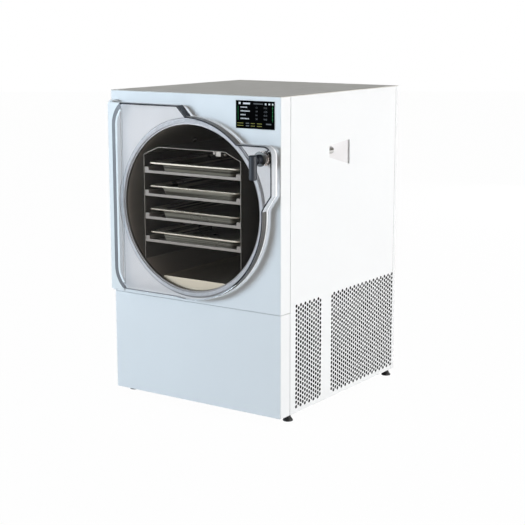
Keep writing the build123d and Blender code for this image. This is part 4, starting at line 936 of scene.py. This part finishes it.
@dataclass
class Door:
    """Clear plate on its folded hinge leaf."""

    edge: float = 0.2 * MM
    rim: float = 2.2 * MM
    hinge_band: float = 6.4 * MM
    hinge_line: float = 4.4 * MM
    hinge_side: float = 24.0 * MM
    hinge_part: float = 90.0 * MM
    hinge_edge_from: float = -150.0 * MM
    pale_foot: float = 140.0 * MM
    round_edge: float = 181.0 * MM
    round_slack: float = 0.6 * MM
    lobe_foot: float = 170.0 * MM
    lobe_side: float = 4.0 * MM
    bushing_room: float = 25.0 * MM
    clearance: float = 0.05 * MM
    whole_front: float = 0.004  # square metres: the parts of the front are larger, bands smaller

    def plate(self) -> Item:
        """Gives the plate its worked edges, a band of painted dark reflection inside them, painted
        shade and a painted highlight beside the hinge leaf, and a gap behind it.

        Returns:
            The plate.
        """
        item = soften("door_plate", CLEAR)
        for finish in (SAWN, RIM_PAINTED_REFLECTION, EDGE_SHADE_AND_REFLECTION, TURNED, EDGE_PAINTED_REFLECTION, HINGE_SHADE, HINGE_HIGHLIGHT):
            item.data.materials.append(finish.material())
        low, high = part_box("latch_bushing")
        hole = (low + high) / 2
        axis = sum(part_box("door_gasket"), Vector()) / 2
        hinge_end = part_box("door_plate")[0].x + self.hinge_part
        pale_below = axis.z - self.pale_foot

        def off_bushing(place: Vector) -> bool:
            """Says whether a face is clear of the hole for the latch bushing."""
            return math.hypot(place.x - hole.x, place.z - hole.z) > self.bushing_room

        def on_round(place: Vector) -> bool:
            """Says whether a face is on the round edge about the chamber's axis."""
            reach = math.hypot(place.x - axis.x, place.z - axis.z)
            return place.x > 0.0 and abs(reach - self.round_edge) < self.round_slack

        edges: tuple[tuple[Finish, Callable[[Vector, Vector], bool]], ...] = (
            (SAWN, lambda place, normal: off_bushing(place)),
            (EDGE_SHADE_AND_REFLECTION, lambda place, normal: normal.x < -0.6 and place.x < self.hinge_edge_from),
            (TURNED, lambda place, normal: on_round(place)),
            (EDGE_PAINTED_REFLECTION, lambda place, normal: place.z > axis.z + self.lobe_foot
             and normal.x > 0.3 and place.x < self.lobe_side))
        Bench.pick(item, lambda place, normal: normal.y > FLAT)
        bpy.ops.transform.translate(value=(0.0, -self.clearance, 0.0))
        Bench.close()
        for finish, test in edges:
            Bench.coat(item, finish,
                       lambda place, normal: abs(normal.y) < UPRIGHT and test(place, normal))
        Bench.pick(item, lambda place, normal: normal.y < -FLAT)
        bpy.ops.mesh.bisect(plane_co=(hinge_end, 0.0, 0.0), plane_no=(1.0, 0.0, 0.0))
        Bench.close()
        # The front chamfers take the round edge's finish: painted dark in place of the lamps'
        # highlight.
        Bench.coat(item, TURNED, lambda place, normal: -FLAT < normal.y < -UPRIGHT
                   and place.z > pale_below and off_bushing(place))
        # Bands on the front: painted dark reflection all round, painted shade and a painted
        # highlight beside the hinge leaf.
        self.band(item, self.rim, math.inf, RIM_PAINTED_REFLECTION, HINGE_SHADE)
        self.band(item, self.hinge_band, hinge_end, CLEAR, HINGE_SHADE)
        self.band(item, self.hinge_line, hinge_end, CLEAR, HINGE_HIGHLIGHT)
        # Below pale_below the painted dark rim turns grey on the hinge side and pale elsewhere.
        for face in item.data.polygons:
            if face.material_index == Bench.slot_of(item, RIM_PAINTED_REFLECTION) and face.center.z < pale_below:
                pale = EDGE_SHADE_AND_REFLECTION if face.center.x < 0.0 else SAWN
                face.material_index = Bench.slot_of(item, pale)
        return Bench.round_off(item, self.edge)

    def band(self, item: Item, width: float, up_to: float, finish: Finish,
             at_hinge: Finish) -> None:
        """Draws a band of painted reflection, shade or highlight along the border of the plate's
        front, another one beside the hinge leaf.

        Args:
            item: The plate.
            width: Width of the band.
            up_to: How far across the plate the band goes.
            finish: Finish all round.
            at_hinge: Finish beside the hinge leaf.
        """
        middles = [face.center.copy() for face in item.data.polygons
                   if face.normal.y < -FLAT and face.area > self.whole_front
                   and face.center.x < up_to]
        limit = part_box("door_plate")[0].x + self.hinge_side
        Bench.pick(item, lambda place, normal: any((place - spot).length < WELD
                                                   for spot in middles))
        bpy.ops.mesh.inset(thickness=width, depth=0.0, use_even_offset=True, use_select_inset=True)
        Bench.close()
        for face in item.data.polygons:
            if face.select:
                shown = at_hinge if face.center.x < limit else finish
                face.material_index = Bench.slot_of(item, shown)

    def build(self) -> None:
        """Builds the plate, the leaf and the brackets."""
        self.plate()
        soften("hinge_leaf", LEAF, 0.3 * MM)
        for node in ("hinge_bracket_top", "hinge_bracket_bottom"):
            soften(node, WHITE, 0.3 * MM)


@dataclass
class Latch:
    """Grip handle, ribbed bushing, spindle and dog."""

    ribs: int = 7
    rib_depth: float = 0.7 * MM
    sides: int = 48

    def build(self) -> None:
        """Builds the handle, the bushing and what they turn in."""
        soften("latch_handle", GRIP, 0.2 * MM, 3)
        self.bushing()
        soften("latch_nut", STEEL, 0.3 * MM)
        soften("latch_spindle", STEEL, 0.2 * MM)
        soften("latch_dog", STEEL, 0.3 * MM)
        soften("latch_keeper", ZINC_PAINTED_SHADE, 0.2 * MM)

    def bushing(self) -> Item:
        """Turns the bushing: a flanged sleeve with ribs along its length.

        Returns:
            The bushing.
        """
        low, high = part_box("latch_bushing")
        centre = (low + high) / 2
        head = (high.x - low.x) / 2
        sleeve = head - 2.0 * MM
        bore = 5.05 * MM
        front, back = low.y, high.y
        shoulder = front + 2.0 * MM
        profile = [(bore, back), (bore, front + 0.4 * MM), (bore + 0.4 * MM, front),
                   (head - 0.5 * MM, front), (head, front + 0.5 * MM), (head, shoulder)]
        step = (back - shoulder) / self.ribs
        for rib in range(self.ribs):
            start = shoulder + rib * step
            profile += [(sleeve - self.rib_depth, start + 0.02 * MM),
                        (sleeve - self.rib_depth, start + 0.35 * step),
                        (sleeve, start + 0.5 * step), (sleeve, start + 0.9 * step)]
        profile += [(sleeve - self.rib_depth, back)]
        item = Turning(centre, self.sides).spin("latch_bushing_ribbed", profile)
        return mount(item, Body.DOOR, SLOTS["latch_bushing"], RIBBED, "latch_bushing")


@dataclass
class Turning:
    """Lathe for rings about an axis along Y."""

    centre: Vector
    sides: int

    def spin(self, name: str, profile: Sequence[tuple[float, float]]) -> Item:
        """Spins a closed profile once round the axis.

        Args:
            name: Name of the piece.
            profile: Radius and depth of each corner.

        Returns:
            The turned piece.
        """
        Bench.clear()
        corners = [(self.centre.x + radius, depth, self.centre.z) for radius, depth in profile]
        mesh = bpy.data.meshes.new(name)
        mesh.from_pydata(corners, [(i, (i + 1) % len(corners)) for i in range(len(corners))], [])
        item = bpy.data.objects.new(name, mesh)
        bpy.context.scene.collection.objects.link(item)
        Bench.open(item)
        bpy.ops.mesh.spin(steps=self.sides, angle=math.tau, axis=(0.0, 1.0, 0.0),
                          center=(self.centre.x, 0.0, self.centre.z), use_auto_merge=True)
        bpy.ops.mesh.select_all(action="SELECT")
        bpy.ops.mesh.remove_doubles(threshold=WELD)
        bpy.ops.mesh.normals_make_consistent(inside=False)
        Bench.close()
        return Bench.smooth(item, 28.0)


@dataclass
class Chamber:
    """Vacuum drum, its flange and seal, and the jacket round it."""

    def build(self) -> None:
        """Dresses the drum, the flange, the seal and the jacket."""
        soften("chamber_drum", DRUM, 0.0, 2, 20.0)
        self.flange()
        soften("door_gasket", SEAL, 0.2 * MM)
        soften("chamber_probe", STEEL, 0.3 * MM)
        dress_node("chamber_insulation", FOAM)
        dress_node("evaporator_coil", COPPER)
        dress_node("drain_line", WHITE_PLASTIC)
        dress_node("vacuum_line", COPPER)

    def flange(self) -> Item:
        """Paints shade on the flange's bore, so that it is darker than the polished face.

        Returns:
            The flange.
        """
        item = soften("chamber_flange", FLANGE, 0.2 * MM)
        low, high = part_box("chamber_flange")
        middle = (low + high) / 2
        item.data.materials.append(BORE_PAINTED_SHADE.material())

        def in_bore(place: Vector, normal: Vector) -> bool:
            """Says whether a face looks towards the axis."""
            inward = Vector((middle.x - place.x, 0.0, middle.z - place.z)).normalized()
            return normal.dot(inward) > 0.6

        Bench.coat(item, BORE_PAINTED_SHADE, in_bore)
        return item


@dataclass
class Rack:
    """Folded rack frame with its shelves, trays and drip pan."""

    levels: int = 4

    def build(self) -> None:
        """Dresses the rack and each level in it."""
        soften("rack_frame", RACK, 0.3 * MM)
        for level in range(1, self.levels + 1):
            soften(f"shelf_{level}", SHELF, 0.3 * MM)
            soften(f"tray_{level}", TRAY, 0.35 * MM, 3)
        dress_node("heater_pads", FOOT)
        soften("drip_pan", PAN, 0.2 * MM)
        soften("rack_plug", PLUG, 0.5 * MM)


@dataclass
class Readout:
    """One group of marks on the screen, in shares of its width and height."""

    name: str
    finish: Finish
    marks: list[tuple[float, float, float, float]]


@dataclass
class Touchscreen:
    """Screen case, glass and the generic marks that are lit on it."""

    lift: float = 0.08 * MM
    rows: tuple[float, ...] = (0.24, 0.375, 0.51, 0.645)
    label_ends: tuple[float, ...] = (0.30, 0.37, 0.26, 0.35)
    row_height: float = 0.04
    digits: tuple[tuple[str, str], ...] = (("12", "0:45"), ("18", "2:30"), ("24", "8:10"),
                                           ("30", "9:00"))
    digit_ends: tuple[float, ...] = (0.51, 0.72)
    digit_height: float = 0.085
    digit_drop: float = 0.03

    def build(self) -> None:
        """Builds the case, the glass and the marks."""
        soften("touchscreen_body", WHITE_PLASTIC, 0.2 * MM)
        soften("touchscreen_glass", GLASS, 0.1 * MM)
        self.low, self.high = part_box("touchscreen_glass")
        for readout in self.readouts():
            slabs = [self.slab(f"{readout.name}_{i}", mark) for i, mark in enumerate(readout.marks)]
            mount(Bench.join(readout.name, slabs), Body.CABINET, "screen_glass", readout.finish)
        self.numbers()

    def readouts(self) -> list[Readout]:
        """Returns the marks of each colour as (left, right, middle, height) shares."""
        h = self.row_height
        labels = [(left, left + 0.026, row, h) for row, end in zip(self.rows, self.label_ends)
                  for left in self.letters(0.125, end)]
        white = Readout("screen_marks_white", LIT_WHITE,
                        [(0.075, 0.125, 0.10, 0.075), (0.19, 0.37, 0.105, 0.06),
                         (0.75, 0.79, 0.105, 0.065), (0.84, 0.885, 0.105, 0.055),
                         (0.93, 0.965, 0.105, 0.06)] + labels)
        grey = Readout("screen_marks_grey", LIT_GREY,
                       [(0.46, 0.70, 0.105, 0.035), (0.26, 0.345, 0.81, 0.035),
                        (0.26, 0.345, 0.90, 0.035), (0.78, 0.91, 0.81, 0.045)])
        green = Readout("screen_marks_green", LIT_GREEN,
                        [(0.942, 0.950, 0.45, 0.56), (0.055, 0.062, 0.45, 0.50)]
                        + [(0.935, 0.957, row, 0.03) for row in self.rows])
        yellow = Readout("screen_marks_yellow", LIT_YELLOW,
                         [(left, left + 0.024, row, 0.026) for row in (0.81, 0.90)
                          for start, end in ((0.04, 0.20), (0.39, 0.50), (0.55, 0.68))
                          for left in self.letters(start, end)])
        return [white, grey, green, yellow]

    @staticmethod
    def letters(start: float, end: float) -> list[float]:
        """Left ends of the short marks that stand for a word between two shares."""
        count = round((end - start) / 0.035)
        return [start + (end - start) * number / count for number in range(count)]

    def slab(self, name: str, mark: tuple[float, float, float, float]) -> Item:
        """Adds one lit mark with rounded corners.

        Args:
            name: Name of the mark.
            mark: Left, right, middle and height as shares of the glass.

        Returns:
            The mark.
        """
        left, right, middle, height = mark
        wide, tall = self.high.x - self.low.x, self.high.z - self.low.z
        low = (self.low.x + left * wide, self.low.y - self.lift,
               self.high.z - (middle + height / 2) * tall)
        high = (self.low.x + right * wide, self.low.y + self.lift,
                self.high.z - (middle - height / 2) * tall)
        item = Bench.block(name, low, high)
        return Bench.round_off(item, min(high[0] - low[0], high[2] - low[2]) * 0.2, 2)

    def numbers(self) -> None:
        """Adds two columns of plain numbers."""
        wide, tall = self.high.x - self.low.x, self.high.z - self.low.z
        items = []
        for row, pair in zip(self.rows, self.digits):
            for text, left in zip(pair, self.digit_ends):
                Bench.clear()
                bpy.ops.object.text_add(rotation=(math.pi / 2, 0.0, 0.0))
                item = bpy.context.active_object
                item.data.body = text
                item.data.size = tall * self.digit_height
                item.data.extrude = self.lift * 0.5
                item.location = (self.low.x + left * wide, self.low.y - self.lift * 0.5,
                                 self.high.z - (row + self.digit_drop) * tall)
                Bench.take(item)
                bpy.ops.object.convert(target="MESH")
                items.append(Bench.seat(bpy.context.active_object, f"digits_{len(items)}"))
        mount(Bench.join("screen_numbers", items), Body.CABINET, "screen_glass", LIT_GREY)


@dataclass
class CoolingUnit:
    """Compressor, condenser, fan and their pipes."""

    def build(self) -> None:
        """Dresses the works under the chamber."""
        soften("compressor", MOTOR, 0.5 * MM)
        for node, finish in (("compressor_grommets", FOOT), ("condenser_coil", ALUMINIUM),
                             ("fan_shroud", MOTOR), ("fan_motor", MOTOR), ("filter_drier", COPPER),
                             ("refrigerant_lines", COPPER)):
            dress_node(node, finish)
        soften("fan_blades", BLACK, 0.3 * MM)


@dataclass
class Electrics:
    """Board, inlet, switch and drain valve."""

    def build(self) -> None:
        """Dresses the electrics and the valve at the rear."""
        dress_node("control_board", BOARD)
        dress_node("board_standoffs", WHITE_PLASTIC)
        for node in ("power_inlet", "switch_housing", "power_rocker"):
            soften(node, BLACK, 0.25 * MM)
        soften("drain_valve_body", STEEL, 0.3 * MM)
        soften("drain_valve_lever", BLACK, 0.4 * MM)


# ---- studio --------------------------------------------------------------
@dataclass(frozen=True)
class Backing(Finish):
    """Pale floor or backdrop that shows white and keeps a soft shadow."""

    share: float = 0.985

    def paint(self, graph: Graph) -> None:
        """Mixes white for what the camera, gloss and glass see with a plain pale surface."""
        cloud = graph.spread(graph.noise(1.5, 2.0), 0.0, 1.0)
        graph.tint(cloud, (0.82, 0.82, 0.82), (0.80, 0.80, 0.80))
        graph.constants(Roughness=0.9, Specular_IOR_Level=0.1)
        path = graph.add("ShaderNodeLightPath").outputs
        mirrored = graph.compute("MAXIMUM", path["Is Glossy Ray"], path["Is Transmission Ray"])
        seen = graph.compute("MAXIMUM", path["Is Camera Ray"], mirrored)
        direct = graph.compute("LESS_THAN", path["Diffuse Depth"], 0.5)
        shown = graph.compute("MULTIPLY", graph.compute("MULTIPLY", seen, direct), self.share)
        glow = graph.add("ShaderNodeEmission")
        glow.inputs["Color"].default_value = (1.0, 1.0, 1.0, 1.0)
        graph.show(shown, graph.shader.outputs["BSDF"], glow.outputs["Emission"])


@dataclass(frozen=True)
class Lamp:
    """One soft lamp."""

    name: str
    place: Point
    target: Point
    size: tuple[float, float]
    power: float
    colour: Colour = (1.0, 1.0, 1.0)

    def light(self) -> None:
        """Adds the lamp and turns it to its target."""
        Bench.clear()
        bpy.ops.object.light_add(type="AREA", location=self.place)
        lamp = bpy.context.active_object
        lamp.name = self.name
        lamp.data.shape = "RECTANGLE"
        lamp.data.size, lamp.data.size_y = self.size
        lamp.data.energy = self.power
        lamp.data.color = self.colour
        aim = Vector(self.target) - Vector(self.place)
        lamp.rotation_euler = aim.to_track_quat("-Z", "Y").to_euler()


@dataclass
class Studio:
    """Floor, backdrop, lamps, surroundings and camera."""

    camera_place: Point = (1.54032, -2.21373, 0.79451)
    turn: float = 0.60190
    pitch: float = 0.19266
    roll: float = 0.0009
    lens: float = 88.694
    ambient: float = 0.20
    lamps: tuple[Lamp, ...] = (
        Lamp("key_lamp", (3.2, 0.3, 0.55), (0.0, 0.1, 0.3), (2.4, 1.5), 101.0),
        Lamp("front_lamp", (-2.4, -3.3, 0.92), (0.0, 0.0, 0.32), (1.8, 1.0), 122.0,
             (0.72, 0.87, 1.0)),
        Lamp("back_lamp", (-0.2, 3.4, 0.40), (0.0, 0.2, 0.32), (1.0, 0.5), 52.0),
    )

    def build(self) -> None:
        """Sets up everything that isn't part of the object."""
        self.backing()
        self.surroundings()
        for lamp in self.lamps:
            lamp.light()
        self.camera()
        bpy.context.scene.view_settings.view_transform = "Standard"

    def backing(self) -> None:
        """Adds the floor and the backdrop."""
        Bench.clear()
        bpy.ops.mesh.primitive_plane_add(size=24.0, location=(0.0, 0.0, -0.0005))
        floor = bpy.context.active_object
        floor.name = "floor"
        Bench.clear()
        bpy.ops.mesh.primitive_plane_add(size=24.0, location=(-5.0, 9.0, 0.0),
                                         rotation=(math.pi / 2, 0.0, self.turn))
        wall = bpy.context.active_object
        wall.name = "backdrop"
        dress(floor, Backing("floor_paint"))
        dress(wall, Backing("backdrop_paint", 1.0))

    def surroundings(self) -> None:
        """Lights the room evenly, and shows white where nothing else stands."""
        world = bpy.data.worlds.new("studio_room")
        bpy.context.scene.world = world
        world.use_nodes = True
        tree = world.node_tree
        tree.nodes.clear()
        output = tree.nodes.new("ShaderNodeOutputWorld")
        path = tree.nodes.new("ShaderNodeLightPath")
        room = tree.nodes.new("ShaderNodeBackground")
        room.inputs["Color"].default_value = (1.0, 0.955, 0.875, 1.0)
        room.inputs["Strength"].default_value = self.ambient
        white = tree.nodes.new("ShaderNodeBackground")
        white.inputs["Color"].default_value = (1.0, 1.0, 1.0, 1.0)
        mix = tree.nodes.new("ShaderNodeMixShader")
        tree.links.new(path.outputs["Is Camera Ray"], mix.inputs["Fac"])
        tree.links.new(room.outputs["Background"], mix.inputs[1])
        tree.links.new(white.outputs["Background"], mix.inputs[2])
        tree.links.new(mix.outputs["Shader"], output.inputs["Surface"])

    def camera(self) -> None:
        """Adds the camera."""
        Bench.clear()
        bpy.ops.object.camera_add(location=self.camera_place)
        camera = bpy.context.active_object
        camera.name = "camera"
        camera.rotation_euler = (math.pi / 2 - self.pitch, self.roll, self.turn)
        camera.data.lens = self.lens
        camera.data.sensor_width = 36.0
        camera.data.clip_end = 100.0
        bpy.context.scene.camera = camera


def main() -> None:
    """Builds the object and the studio round it."""
    logging.basicConfig(level=logging.INFO, format="%(name)s: %(message)s")
    for assembly in (Studio(), Cabinet(), Door(), Latch(), Chamber(), Rack(), Touchscreen(),
                     CoolingUnit(), Electrics()):
        log.info("building %s", type(assembly).__name__)
        assembly.build()


if __name__ == "__main__":
    main()
